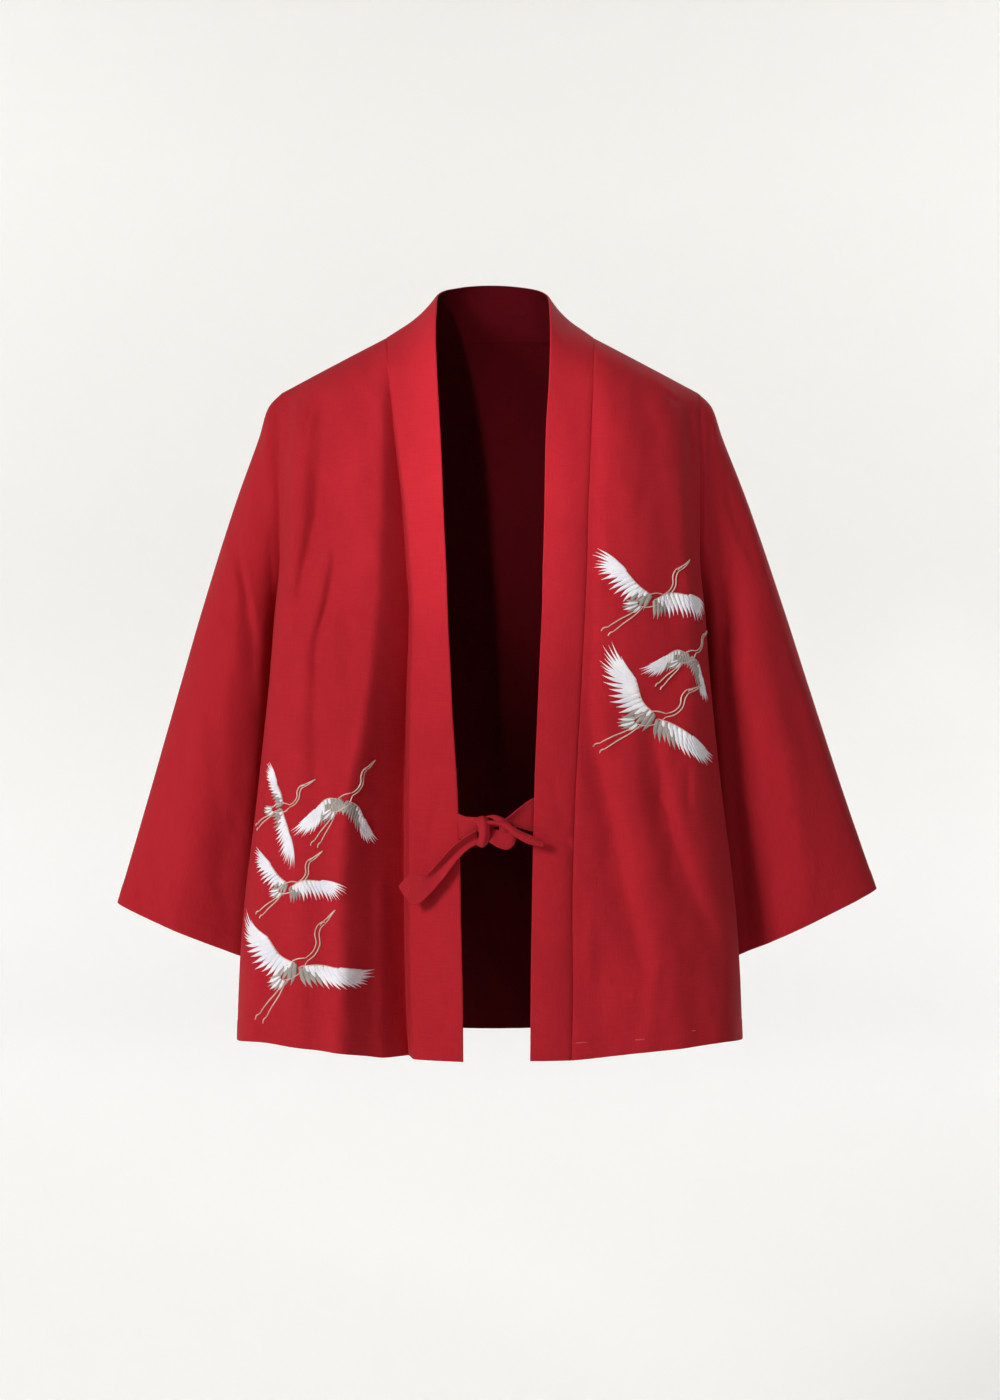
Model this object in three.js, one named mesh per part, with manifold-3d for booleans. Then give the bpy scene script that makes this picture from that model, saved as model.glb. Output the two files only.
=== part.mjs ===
// A hip-length, open-front kimono jacket of plain woven cotton, filled out as it hangs on a wearer, with
// nobody in it. Two fronts, a back, two wide sleeves, a folded band that runs up one front edge, round the
// neck and down the other, and two ties knotted at the waist. Every piece is a wall of cloth.
//
// Millimetres, +Z up. The front faces -Y and +X is the wearer's left. The origin is inside the shoulders:
// on the centre line, over the shoulder seams, 9 mm under the seam at the nape.

import * as THREE from 'three';
import Module from 'manifold-3d';

// ---------------------------------------------------------------- driving dimensions

const CLOTH = 1.6; // wall of one layer of cloth
const BAND_CLOTH = 2.6; // wall of the folded band
const TIE_CLOTH = 2; // wall of a tie
const SEAM_GAP = 0.3; // room between two pieces at their seam

const HEM = -697; // mean height of the hem
const UNDERARM = -275; // foot of the armhole
const CHEST = -163.5; // height at which the armhole is deepest
const ARMHOLE_X = 206; // half width of the body at the armhole
const ARMHOLE_HALF_DEPTH = 46;
const UNDERARM_Y = 5;

const NECK_POINT = { x: 103, z: 4 }; // where the shoulder seam meets the band
const SHOULDER_TIP = { x: 208, z: -51 }; // where the shoulder seam meets the sleeve
const NAPE = { y: 75, z: 9 }; // middle of the back neck seam
const BAND_TOP_SIDE = { y: 2, z: 45 }; // free edge of the band beside the neck
const BAND_TOP_BACK = { y: 62, z: 66 }; // free edge of the band at the nape
const BAND_BULGE = 2; // how far the band rounds out between its two edges in front
const BAND_HOLLOW = 4; // how far it curves in where it stands up round the neck
const BAND_STEPS = 3; // grid steps across the band

const FRONT_HEM = { band: -702, side: -683 }; // the hem rises towards the side seams
const BACK_HEM = { middle: -699, side: -683 };

const CUFF_OUTER = { x: 379, z: -553 };
const CUFF_INNER = { x: 235.5, z: -616 };
const ARM_SWING = 7; // the left sleeve hangs this much further out than the mean, the right one less

const LOWER_ROWS = 12; // grid rows from the hem to the underarm
const ARMHOLE_ROWS = 4; // from the underarm to the chest
const SHOULDER_ROWS = 7; // from the chest to the shoulder seam
const FRONT_STEPS = 18; // grid steps round a front, from the band to the side seam
const BACK_SHOULDER_STEPS = 14; // along one shoulder seam on the back
const BACK_NECK_STEPS = 6; // along half of the back neck seam
const BACK_NECK_SHARE = 0.45; // share of the half back that ends in the neck seam
const SLEEVE_STEPS = 13; // grid steps down a sleeve

// ---------------------------------------------------------------- tables

// Rows of numbers become records with the named columns.
const table = (columns, rows) =>
  rows.map((row) => Object.fromEntries(columns.split(' ').map((name, i) => [name, row[i]])));

// Half of the body's plan at each height: the front's depth beside the band, the turn from front to side,
// the fullness just before the seam, the side seam, and the same on the back.
const BODY = table('z frontY turnX turnY lobeX lobeY sideX sideY backTurnY backY', [
  [-700, -139, 229, -104, 248, -45, 238, 2, 103, 129],
  [-620, -137, 225, -104, 244.5, -52, 228, 6, 102, 129],
  [-550, -135, 219, -103, 239, -56, 220, 8, 102, 129],
  [-450, -131, 209, -102, 227, -60, 211, 8, 101, 128],
  [-350, -127, 199, -100, 216.5, -62, 203, 8, 100, 129],
  [-275, -122, 193, -96, 210.5, -62, 206, 5, 98, 131],
  [-220, -118, 188, -92, 205, -60, 206, 5, 96, 131],
  [-163.5, -112, 185, -88, 202.5, -60, 206, 5, 92, 128],
]);

// The front opening at each height: the seam of the band, and the band's free edge, on either side.
const OPENING = table('z seamRight seamLeft edgeRight edgeLeft', [
  [-700, 73, 78, 25.3, 38.6],
  [-620, 76, 79, 26, 39.3],
  [-550, 77, 78.5, 27.5, 40.5],
  [-450, 77, 81.5, 30.5, 42.5],
  [-350, 76, 87, 36, 46.5],
  [-275, 74, 91, 39.5, 50],
  [-220, 77, 93.5, 41.7, 51.3],
  [-163.5, 82, 95, 44.5, 52.8],
  [-100, 90, 98, 47.3, 54.3],
  [-50, 96, 100, 50.3, 57.5],
  [0, 102, 102.5, 52.8, 59.3],
  [45, 104, 104, 53, 58],
]);

// The largest folds. Each is a soft trough, or a ridge where its depth is negative, through its knots:
// x and z from the front, half width and depth.
const fold = (rows) => table('x z width depth', rows);
const FRONT_FOLDS = {
  right: [
    fold([[-89, -80, 22, 5], [-76, -330, 40, 12], [-75, -700, 52, 19]]),
    fold([[-150, -420, 26, -3], [-152, -700, 30, -6]]),
    fold([[-172, -90, 15, 7], [-175, -180, 12, 6], [-184, -250, 9, 2]]),
    fold([[-160, -230, 11, 5], [-163, -370, 12, 3]]),
  ],
  left: [
    fold([[100, -90, 13, 6], [98, -215, 12, 5]]),
    fold([[95, -350, 13, 6], [99, -396, 13, 8], [113, -455, 14, 8], [129, -541, 17, 7], [145, -615, 20, 4]]),
    fold([[160, -405, 13, 7], [169, -466, 15, 8], [191, -534, 17, 7], [218, -597, 18, 4]]),
    fold([[150, -60, 16, 3], [172, -200, 20, 4], [180, -330, 18, 2]]),
  ],
};
const BACK_FOLDS = [
  fold([[-78, -260, 24, 4], [-92, -450, 28, 8], [-104, -690, 32, 9]]),
  fold([[88, -240, 22, 5], [84, -420, 27, 7], [98, -690, 34, 10]]),
  fold([[-4, -330, 30, 3], [6, -690, 36, 6]]),
  fold([[-166, -120, 16, 6], [-158, -330, 20, 5], [-168, -560, 22, 4]]),
  fold([[170, -130, 15, 6], [160, -300, 19, 4], [172, -600, 22, 5]]),
];

// Each sleeve's section on its way down: half depth, middle, and how sharp its two creased edges are
// (0.5 is an ellipse).
const SLEEVE = table('z halfDepth middleY crease', [
  [0, 46, 2.5, 0.5],
  [0.3, 51, 4, 0.52],
  [0.6, 49, 3, 0.58],
  [1, 39, 0, 0.66],
]);

// ---------------------------------------------------------------- small tools

const vec = (x, y, z) => new THREE.Vector3(x, y, z);
const { lerp, clamp, smoothstep } = THREE.MathUtils;
const sides = { right: -1, left: 1 };

// A column's value at height z, on a smooth curve through the rows, which run upwards.
function at(rows, column, z) {
  const last = rows.length - 1;
  const next = clamp(rows.findIndex((row) => row.z >= z), 1, last);
  const i = z > rows[last].z ? last : next;
  const [a, b, c, d] = [i - 2, i - 1, i, i + 1].map((k) => rows[clamp(k, 0, last)]);
  const slope = (p, q) => (q[column] - p[column]) / (q.z - p.z || 1);
  const u = clamp((z - b.z) / (c.z - b.z), 0, 1);
  const rise = c.z - b.z;
  const start = slope(a, c) * rise;
  const end = slope(b, d) * rise;
  return (2 * u ** 3 - 3 * u ** 2 + 1) * b[column] + (u ** 3 - 2 * u ** 2 + u) * start
    + (3 * u ** 2 - 2 * u ** 3) * c[column] + (u ** 3 - u ** 2) * end;
}

// How deep the folds press the cloth in at a place seen from the front. A fold fades out over 50 mm past
// its end knots.
function foldDepth(folds, x, z) {
  const FADE = 50;
  let depth = 0;
  for (const knots of folds) {
    const up = [...knots].sort((p, q) => p.z - q.z);
    const past = Math.max(up[0].z - z, z - up.at(-1).z, 0);
    const level = clamp(z, up[0].z, up.at(-1).z);
    const across = (x - at(up, 'x', level)) / at(up, 'width', level);
    depth += at(up, 'depth', level) * Math.exp(-across * across) * (1 - smoothstep(past, 0, FADE));
  }
  return depth;
}

// Unit normals of a grid of points. A closed grid joins its last column to its first. `outward` gives a
// direction that the normal has to agree with at a point.
function gridNormals(grid, closed, outward) {
  const rows = grid.length;
  const columns = grid[0].length;
  const pick = (r, c) => grid[clamp(r, 0, rows - 1)][closed ? (c + columns) % columns : clamp(c, 0, columns - 1)];
  return grid.map((line, r) => line.map((point, c) => {
    const along = pick(r, c + 1).clone().sub(pick(r, c - 1));
    const up = pick(r + 1, c).clone().sub(pick(r - 1, c));
    const normal = along.cross(up).normalize();
    return normal.dot(outward(point, r, c)) < 0 ? normal.negate() : normal;
  }));
}

// Pieces that meet at a seam take one common normal there, so that their walls end in one plane.
function shareNormals(list, extra) {
  const sum = vec(0, 0, 0);
  for (const normal of list) {
    sum.add(normal.value);
  }
  if (extra) {
    sum.add(extra);
  }
  sum.normalize();
  for (const normal of list) {
    normal.store(sum.clone());
  }
}
const seat = (piece, r, c) => ({
  value: piece.normals[r][c],
  store: (shared) => { piece.shared.set(`${r} ${c}`, shared); },
});

// Moves a point of a grid by half of the seam's gap towards another point of the grid.
function pullBack(piece, r, c, toRow, toColumn) {
  const inward = piece.grid[toRow][toColumn].clone().sub(piece.grid[r][c]).setLength(SEAM_GAP / 2);
  piece.moved.push([r, c, inward]);
}

// A sheet of points becomes a wall: an outer and an inner skin half a thickness to either side, and rims.
function wallGeometry(piece, thickness) {
  const { grid, normals, shared, moved, closed } = piece;
  for (const [r, c, by] of moved) {
    grid[r][c].add(by);
  }
  const rows = grid.length;
  const columns = grid[0].length;
  const positions = [];
  for (const half of [thickness / 2, -thickness / 2]) {
    grid.forEach((line, r) => line.forEach((point, c) => {
      const own = normals[r][c];
      const normal = shared.get(`${r} ${c}`) ?? own;
      const stretch = 1 / clamp(normal.dot(own), 0.7, 1);
      positions.push(...point.clone().addScaledVector(normal, half * stretch).toArray());
    }));
  }
  const outer = (r, c) => r * columns + (c % columns);
  const inner = (r, c) => rows * columns + outer(r, c);
  const faces = [];
  const quad = (a, b, c, d) => faces.push(a, b, c, a, c, d);
  const lastRow = rows - 1;
  const lastColumn = closed ? columns : columns - 1;
  for (let c = 0; c < lastColumn; c++) {
    for (let r = 0; r < lastRow; r++) {
      quad(outer(r, c), outer(r, c + 1), outer(r + 1, c + 1), outer(r + 1, c));
      quad(inner(r, c), inner(r + 1, c), inner(r + 1, c + 1), inner(r, c + 1));
    }
    quad(outer(0, c), inner(0, c), inner(0, c + 1), outer(0, c + 1));
    quad(outer(lastRow, c), outer(lastRow, c + 1), inner(lastRow, c + 1), inner(lastRow, c));
  }
  for (let r = 0; r < lastRow && !closed; r++) {
    quad(outer(r, 0), outer(r + 1, 0), inner(r + 1, 0), inner(r, 0));
    quad(outer(r, lastColumn), inner(r, lastColumn), inner(r + 1, lastColumn), outer(r + 1, lastColumn));
  }
  return closedGeometry(positions, faces);
}

// An indexed geometry whose faces point out, whichever way round the sheet was drawn.
function closedGeometry(positions, faces) {
  const corner = (i) => vec(...positions.slice(3 * i, 3 * i + 3));
  let volume = 0;
  for (let i = 0; i < faces.length; i += 3) {
    volume += corner(faces[i]).dot(corner(faces[i + 1]).cross(corner(faces[i + 2])));
  }
  if (volume < 0) {
    for (let i = 0; i < faces.length; i += 3) {
      [faces[i], faces[i + 1]] = [faces[i + 1], faces[i]];
    }
  }
  const geometry = new THREE.BufferGeometry();
  geometry.setAttribute('position', new THREE.Float32BufferAttribute(positions, 3));
  geometry.setIndex(faces);
  return geometry;
}

const makePiece = (grid, outward, closed = false) => ({
  grid,
  closed,
  normals: gridNormals(grid, closed, outward),
  shared: new Map(),
  moved: [],
});

// ---------------------------------------------------------------- body

// The edge of a panel at the armhole, from the underarm up to the chest. face is -1 in front, 1 behind.
function armholeEdge(face, z) {
  const q = (z - CHEST) / (CHEST - UNDERARM);
  return [ARMHOLE_X, face * ARMHOLE_HALF_DEPTH * Math.sqrt(Math.max(0, 1 - q * q)) + UNDERARM_Y * q * q];
}
const sideEdge = (face, z) => (z > UNDERARM ? armholeEdge(face, z) : [at(BODY, 'sideX', z), at(BODY, 'sideY', z)]);

// Behind its fullness the cloth draws in to the seam, which leaves room for the sleeve.
function drawnIn(lobe, seam) {
  return [lerp(lobe[0], seam[0], 0.85), lerp(lobe[1], seam[1], 0.4)];
}

// A front's plan at one height, from the band's seam to the side seam or the armhole.
function frontSection(name, z) {
  const [seamColumn, sign] = name === 'right' ? ['seamRight', -1] : ['seamLeft', 1];
  const seamX = at(OPENING, seamColumn, z);
  const [frontY, turnX, turnY] = [at(BODY, 'frontY', z), at(BODY, 'turnX', z), at(BODY, 'turnY', z)];
  const lobe = [at(BODY, 'lobeX', z), at(BODY, 'lobeY', z)];
  const plan = [
    [seamX, frontY],
    [lerp(seamX, turnX, 0.52), lerp(frontY, turnY, 0.16)],
    [turnX, turnY],
    lobe,
    drawnIn(lobe, sideEdge(-1, z)),
    sideEdge(-1, z),
  ];
  return new THREE.CatmullRomCurve3(plan.map(([x, y]) => vec(sign * x, y, z)), false, 'centripetal');
}

// The back's plan at one height, from the right side seam to the left one.
function backSection(z) {
  const [turnX, turnY, backY] = [at(BODY, 'turnX', z) - 3, at(BODY, 'backTurnY', z), at(BODY, 'backY', z)];
  const lobe = [at(BODY, 'lobeX', z) - 3, -at(BODY, 'lobeY', z)];
  const half = [
    [turnX * 0.55, lerp(backY, turnY, 0.12)],
    [turnX, turnY],
    lobe,
    drawnIn(lobe, sideEdge(1, z)),
    sideEdge(1, z),
  ];
  const plan = [...[...half].reverse().map(([x, y]) => [-x, y]), [0, backY], ...half];
  return new THREE.CatmullRomCurve3(plan.map(([x, y]) => vec(x, y, z)), false, 'centripetal');
}

// A body panel: rows of points from the hem to the shoulder, one column for each fraction of the plan.
// Above the chest the cloth rounds over to the line that `top` gives, as an ellipse or less.
function bodyGrid(section, fractions, hem, top) {
  const grid = [];
  const addRow = (z, droop) => {
    const curve = section(z);
    grid.push(fractions.map((f) => curve.getPointAt(f).setZ(z + droop * (hem(f) - HEM))));
  };
  for (let i = 0; i <= LOWER_ROWS; i++) {
    addRow(lerp(HEM, UNDERARM, i / LOWER_ROWS), (1 - i / LOWER_ROWS) ** 2);
  }
  for (let i = 1; i <= ARMHOLE_ROWS; i++) {
    addRow(CHEST - (CHEST - UNDERARM) * Math.cos((Math.PI / 2) * (i / ARMHOLE_ROWS)), 0);
  }
  const chest = grid.at(-1);
  for (let i = 1; i <= SHOULDER_ROWS; i++) {
    const climb = Math.sin((Math.PI / 2) * (i / SHOULDER_ROWS));
    grid.push(chest.map((base, k) => {
      const { point, round } = top(fractions[k]);
      const inward = i === SHOULDER_ROWS ? 0 : (1 - climb * climb) ** round;
      return vec(lerp(base.x, point.x, climb), lerp(point.y, base.y, inward), lerp(CHEST, point.z, climb));
    }));
  }
  return grid;
}

// A place on the shoulder seam, from the neck (0) to the tip (1).
const shoulderPoint = (sign, f) =>
  vec(sign * lerp(NECK_POINT.x, SHOULDER_TIP.x, f), 0, lerp(NECK_POINT.z, SHOULDER_TIP.z, f));

const steps = (n) => Array.from({ length: n + 1 }, (_, i) => i / n);
const fromAxis = (point) => vec(point.x, point.y, point.z > CHEST ? 2 * (point.z - CHEST) : 0);

function frontPiece(name) {
  const sign = sides[name];
  const hem = (f) => lerp(FRONT_HEM.band, FRONT_HEM.side, f ** 1.3);
  const top = (f) => ({ point: shoulderPoint(sign, f), round: 0.5 });
  const grid = bodyGrid((z) => frontSection(name, z), steps(FRONT_STEPS), hem, top);
  grid.forEach((line) => line.forEach((point, c) => {
    const calm = smoothstep(FRONT_STEPS - c, 0, 3) * smoothstep(-point.z, 0, 120);
    point.y += calm * foldDepth(FRONT_FOLDS[name], point.x, point.z);
  }));
  return makePiece(grid, fromAxis);
}

// The back's columns as signed fractions: -1 and 1 at the side seams, 0 at the centre back.
const backColumns = (() => {
  const neck = steps(BACK_NECK_STEPS).slice(1).map((f) => f * BACK_NECK_SHARE);
  const shoulder = steps(BACK_SHOULDER_STEPS).slice(1).map((f) => lerp(BACK_NECK_SHARE, 1, f));
  const half = [...neck, ...shoulder];
  return [...[...half].reverse().map((f) => -f), 0, ...half];
})();
const NECK_COLUMNS = [BACK_SHOULDER_STEPS, BACK_SHOULDER_STEPS + 2 * BACK_NECK_STEPS];

// A place on the back neck seam: turn is a quarter circle from the neck point (0) to the nape.
const neckPoint = (sign, turn) =>
  vec(sign * NECK_POINT.x * Math.cos(turn), NAPE.y * Math.sin(turn), lerp(NECK_POINT.z, NAPE.z, Math.sin(turn)));
const neckTurn = (f) => (Math.PI / 2) * (1 - Math.abs(f) / BACK_NECK_SHARE);

function backPiece() {
  const fractions = backColumns.map((f) => (1 + f) / 2);
  const signed = (u) => 2 * u - 1;
  const hem = (u) => lerp(BACK_HEM.middle, BACK_HEM.side, signed(u) ** 2);
  const top = (u) => {
    const f = signed(u);
    const sign = Math.sign(f) || 1;
    const share = Math.abs(f) / BACK_NECK_SHARE;
    if (share < 0.999) {
      return { point: neckPoint(sign, neckTurn(f)), round: lerp(1, 0.5, share) };
    }
    return { point: shoulderPoint(sign, (Math.abs(f) - BACK_NECK_SHARE) / (1 - BACK_NECK_SHARE)), round: 0.5 };
  };
  const grid = bodyGrid(backSection, fractions, hem, top);
  grid.forEach((line) => line.forEach((point, c) => {
    const toSide = Math.min(c, backColumns.length - 1 - c);
    const calm = smoothstep(toSide, 0, 3) * smoothstep(-point.z, 20, 150);
    point.y -= calm * foldDepth(BACK_FOLDS, point.x, point.z);
  }));
  return makePiece(grid, fromAxis);
}

const fronts = { right: frontPiece('right'), left: frontPiece('left') };
const back = backPiece();
const TOP_ROW = LOWER_ROWS + ARMHOLE_ROWS + SHOULDER_ROWS;
const backSideColumn = { right: 0, left: backColumns.length - 1 };
const backNeckColumn = { right: NECK_COLUMNS[0], left: NECK_COLUMNS[1] };

// Along a shoulder seam both panels face square to the seam, with no lean to the front or back.
for (const [name, sign] of Object.entries(sides)) {
  const up = vec(sign * (NECK_POINT.z - SHOULDER_TIP.z), 0, SHOULDER_TIP.x - NECK_POINT.x).normalize();
  for (let c = 0; c <= FRONT_STEPS; c++) {
    fronts[name].normals[TOP_ROW][c] = up.clone();
  }
  backColumns.forEach((f, c) => {
    if (f * sign > BACK_NECK_SHARE - 0.001) {
      back.normals[TOP_ROW][c] = up.clone();
    }
  });
}

// ---------------------------------------------------------------- sleeves

// The armhole seam is a ring of places on the body, from the shoulder tip down the front and up the back.
function armholeRing(name) {
  const front = fronts[name];
  const rows = Array.from({ length: TOP_ROW - LOWER_ROWS + 1 }, (_, i) => LOWER_ROWS + i);
  const height = (r) => (r <= LOWER_ROWS + ARMHOLE_ROWS
    ? -Math.cos((Math.PI / 2) * ((r - LOWER_ROWS) / ARMHOLE_ROWS))
    : Math.sin((Math.PI / 2) * ((r - LOWER_ROWS - ARMHOLE_ROWS) / SHOULDER_ROWS)));
  const down = [...rows].reverse().map((r) => ({ r, q: height(r), face: -1 }));
  const up = rows.slice(1, -1).map((r) => ({ r, q: height(r), face: 1 }));
  return [...down, ...up].map((place) => ({
    ...place,
    point: (place.face < 0 ? front.grid[place.r][FRONT_STEPS] : back.grid[place.r][backSideColumn[name]]).clone(),
  }));
}

function sleevePiece(name) {
  const sign = sides[name];
  const ring = armholeRing(name);
  const swing = sign * ARM_SWING;
  const outer = new THREE.CatmullRomCurve3([
    [SHOULDER_TIP.x, SHOULDER_TIP.z], [220.5, -64], [231, -95], [254.5, -157], [287.5, -257], [318, -357],
    [348.5, -457], [CUFF_OUTER.x, CUFF_OUTER.z],
  ].map(([x, z], i, all) => {
    const share = (i / (all.length - 1)) ** 2;
    return vec(sign * (x + sign * ARM_SWING * share), 0, z + swing * share);
  }), false, 'centripetal');
  const inner = new THREE.CatmullRomCurve3([
    [ARMHOLE_X, UNDERARM], [214, -296], [220, -370], [227, -480], [CUFF_INNER.x, CUFF_INNER.z],
  ].map(([x, z]) => vec(sign * x, 0, z)), false, 'centripetal');
  // One point of the tube: t down the sleeve, q from the inner edge (-1) to the outer (1), face front or back.
  const tube = (t, q, face) => {
    const a = outer.getPointAt(t);
    const b = inner.getPointAt(t);
    const section = (column) => at(SLEEVE, column, t);
    const point = a.clone().add(b).multiplyScalar(0.5).addScaledVector(a.clone().sub(b), q / 2);
    const bulge = section('halfDepth') * Math.max(0, 1 - q * q) ** section('crease');
    return point.setY(face * bulge + section('middleY'));
  };
  const middles = [];
  const grid = steps(SLEEVE_STEPS).map((step) => {
    const t = step ** 1.25;
    const settle = 1 - smoothstep(t, 0, 0.25);
    middles.push(tube(t, 0, 1).add(tube(t, 0, -1)).multiplyScalar(0.5));
    return ring.map(({ point, q, face }) => {
      const seam = point.clone().sub(tube(0, q, face));
      return tube(t, q, face).addScaledVector(seam, settle);
    });
  });
  const piece = makePiece(grid, (point, r) => point.clone().sub(middles[r]), true);

  // The armhole seam: the sleeve moves out and the body in, by half of the gap each.
  const side = backSideColumn[name];
  ring.forEach(({ r, q, face }, m) => {
    const radial = vec(0, face * Math.sqrt(Math.max(0, 1 - q * q)), q).multiplyScalar(0.6);
    const holders = r === TOP_ROW || r === LOWER_ROWS
      ? [seat(fronts[name], r, FRONT_STEPS), seat(back, r, side)]
      : [face < 0 ? seat(fronts[name], r, FRONT_STEPS) : seat(back, r, side)];
    const bodyNormal = holders.reduce((sum, holder) => sum.add(holder.value), vec(0, 0, 0)).normalize();
    const shared = bodyNormal.add(piece.normals[0][m]).add(radial).normalize();
    holders.forEach((holder) => holder.store(shared.clone()));
    piece.shared.set(`0 ${m}`, shared);
    piece.moved.push([0, m, vec(sign * SEAM_GAP / 2, 0, 0)]);
  });
  for (let r = LOWER_ROWS; r <= TOP_ROW; r++) {
    fronts[name].moved.push([r, FRONT_STEPS, vec(-sign * SEAM_GAP / 2, 0, 0)]);
    back.moved.push([r, side, vec(-sign * SEAM_GAP / 2, 0, 0)]);
  }
  return piece;
}

const sleeves = { right: sleevePiece('right'), left: sleevePiece('left') };

// Side seams, from the hem to the underarm, and shoulder seams.
for (const name of Object.keys(sides)) {
  const side = backSideColumn[name];
  const nextIn = side === 0 ? 1 : side - 1;
  for (let r = 0; r <= LOWER_ROWS; r++) {
    if (r < LOWER_ROWS) {
      shareNormals([seat(fronts[name], r, FRONT_STEPS), seat(back, r, side)]);
    }
    pullBack(fronts[name], r, FRONT_STEPS, r, FRONT_STEPS - 1);
    pullBack(back, r, side, r, nextIn);
  }
  for (let c = 0; c <= FRONT_STEPS; c++) {
    fronts[name].moved.push([TOP_ROW, c, vec(0, -SEAM_GAP / 2, 0)]);
  }
}
for (let c = 0; c < backColumns.length; c++) {
  back.moved.push([TOP_ROW, c, vec(0, SEAM_GAP / 2, 0)]);
}

// ---------------------------------------------------------------- band

// The band's free edge beside a front, at height z.
function bandEdge(name, z) {
  const x = at(OPENING, name === 'right' ? 'edgeRight' : 'edgeLeft', z);
  const foot = at(BODY, 'frontY', Math.min(z, CHEST)) - 3;
  const climb = clamp((z - CHEST) / (BAND_TOP_SIDE.z - CHEST), 0, 1);
  const y = lerp(BAND_TOP_SIDE.y, foot, Math.sqrt(1 - climb * climb));
  return vec(sides[name] * x, y, z);
}

// The band stands up towards the neck: its edge is this much higher than the seam beside it.
function edgeBeside(name, seamPoint) {
  const lift = (BAND_TOP_SIDE.z - NECK_POINT.z) * smoothstep(seamPoint.z, CHEST, NECK_POINT.z);
  return bandEdge(name, seamPoint.z + lift);
}

function bandPiece() {
  const stations = [];
  const addFront = (name, r) => stations.push({
    seam: fronts[name].grid[r][0].clone(),
    edge: edgeBeside(name, fronts[name].grid[r][0]),
    seats: r === TOP_ROW
      ? [seat(fronts[name], r, 0), seat(back, r, backNeckColumn[name])]
      : [seat(fronts[name], r, 0)],
  });
  for (let r = 0; r <= TOP_ROW; r++) {
    addFront('right', r);
  }
  for (let c = NECK_COLUMNS[0] + 1; c < NECK_COLUMNS[1]; c++) {
    const turn = neckTurn(backColumns[c]);
    const corner = bandEdge(backColumns[c] < 0 ? 'right' : 'left', BAND_TOP_SIDE.z);
    stations.push({
      seam: back.grid[TOP_ROW][c].clone(),
      edge: vec(
        corner.x * Math.cos(turn),
        lerp(BAND_TOP_SIDE.y, BAND_TOP_BACK.y, Math.sin(turn)),
        lerp(BAND_TOP_SIDE.z, BAND_TOP_BACK.z, Math.sin(turn)),
      ),
      seats: [seat(back, TOP_ROW, c)],
    });
  }
  for (let r = TOP_ROW; r >= 0; r--) {
    addFront('left', r);
  }
  const flat = stations.map(({ seam, edge }) =>
    steps(BAND_STEPS).map((u) => seam.clone().lerp(edge, u)));
  const outward = (point) => (point.z > CHEST ? vec(point.x, point.y * 1.5, 60) : vec(0, -1, 0));
  const flatNormals = gridNormals(flat, false, outward);
  const roll = ({ seam }) => lerp(BAND_BULGE, -BAND_HOLLOW, smoothstep(seam.z, CHEST, NECK_POINT.z));
  const grid = flat.map((line, r) => line.map((point, c) =>
    point.addScaledVector(flatNormals[r][c], roll(stations[r]) * Math.sin((Math.PI * c) / BAND_STEPS))));
  const piece = makePiece(grid, outward);
  stations.forEach(({ seats }, r) => {
    shareNormals([seat(piece, r, 0), ...seats]);
    pullBack(piece, r, 0, r, 1);
  });
  return piece;
}

const band = bandPiece();
for (const name of Object.keys(sides)) {
  for (let r = 0; r <= TOP_ROW; r++) {
    pullBack(fronts[name], r, 0, r, 1);
  }
}
for (let c = NECK_COLUMNS[0]; c <= NECK_COLUMNS[1]; c++) {
  pullBack(back, TOP_ROW, c, TOP_ROW - 1, c);
}

// ---------------------------------------------------------------- ties

const KNOT = { x: -3, y: -142, z: -481, halfWidth: 16, halfDepth: 9, halfHeight: 13 };
const TIE_WIDTH = 23;

// A place on the inside of the band at height z: u from its seam to its edge, then towards the inside.
function insideBand(name, z, u, depth) {
  const sign = sides[name];
  const seam = frontSection(name, z).getPointAt(0);
  seam.y += foldDepth(FRONT_FOLDS[name], seam.x, z);
  const edge = bandEdge(name, z);
  const across = edge.clone().sub(seam);
  const inward = vec(-across.y * sign, across.x * sign, 0).normalize();
  return seam.lerp(edge, u).addScaledVector(inward.y > 0 ? inward : inward.negate(), depth);
}

// A flat ribbon along a smooth curve through stations: a place, the direction of the width, and the width.
function ribbon(stations, lengthSteps, thickness) {
  const middle = new THREE.CatmullRomCurve3(stations.map((s) => s.place), false, 'centripetal');
  const grid = steps(lengthSteps).map((t) => {
    const reach = t * (stations.length - 1);
    const i = Math.min(Math.floor(reach), stations.length - 2);
    const u = reach - i;
    const across = stations[i].across.clone().lerp(stations[i + 1].across, u).normalize();
    const width = lerp(stations[i].width, stations[i + 1].width, u);
    return [-0.5, 0, 0.5].map((k) => middle.getPoint(t).addScaledVector(across, k * width));
  });
  const first = grid[1][1].clone().sub(grid[0][1]).cross(grid[0][2].clone().sub(grid[0][0]));
  const piece = makePiece(grid, () => first);
  let facing = first;
  piece.normals.forEach((line, r) => line.forEach((normal, c) => {
    if (normal.dot(facing) < 0) {
      piece.normals[r][c] = normal.negate();
    }
    facing = piece.normals[r][c];
  }));
  return wallGeometry(piece, thickness);
}

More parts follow.
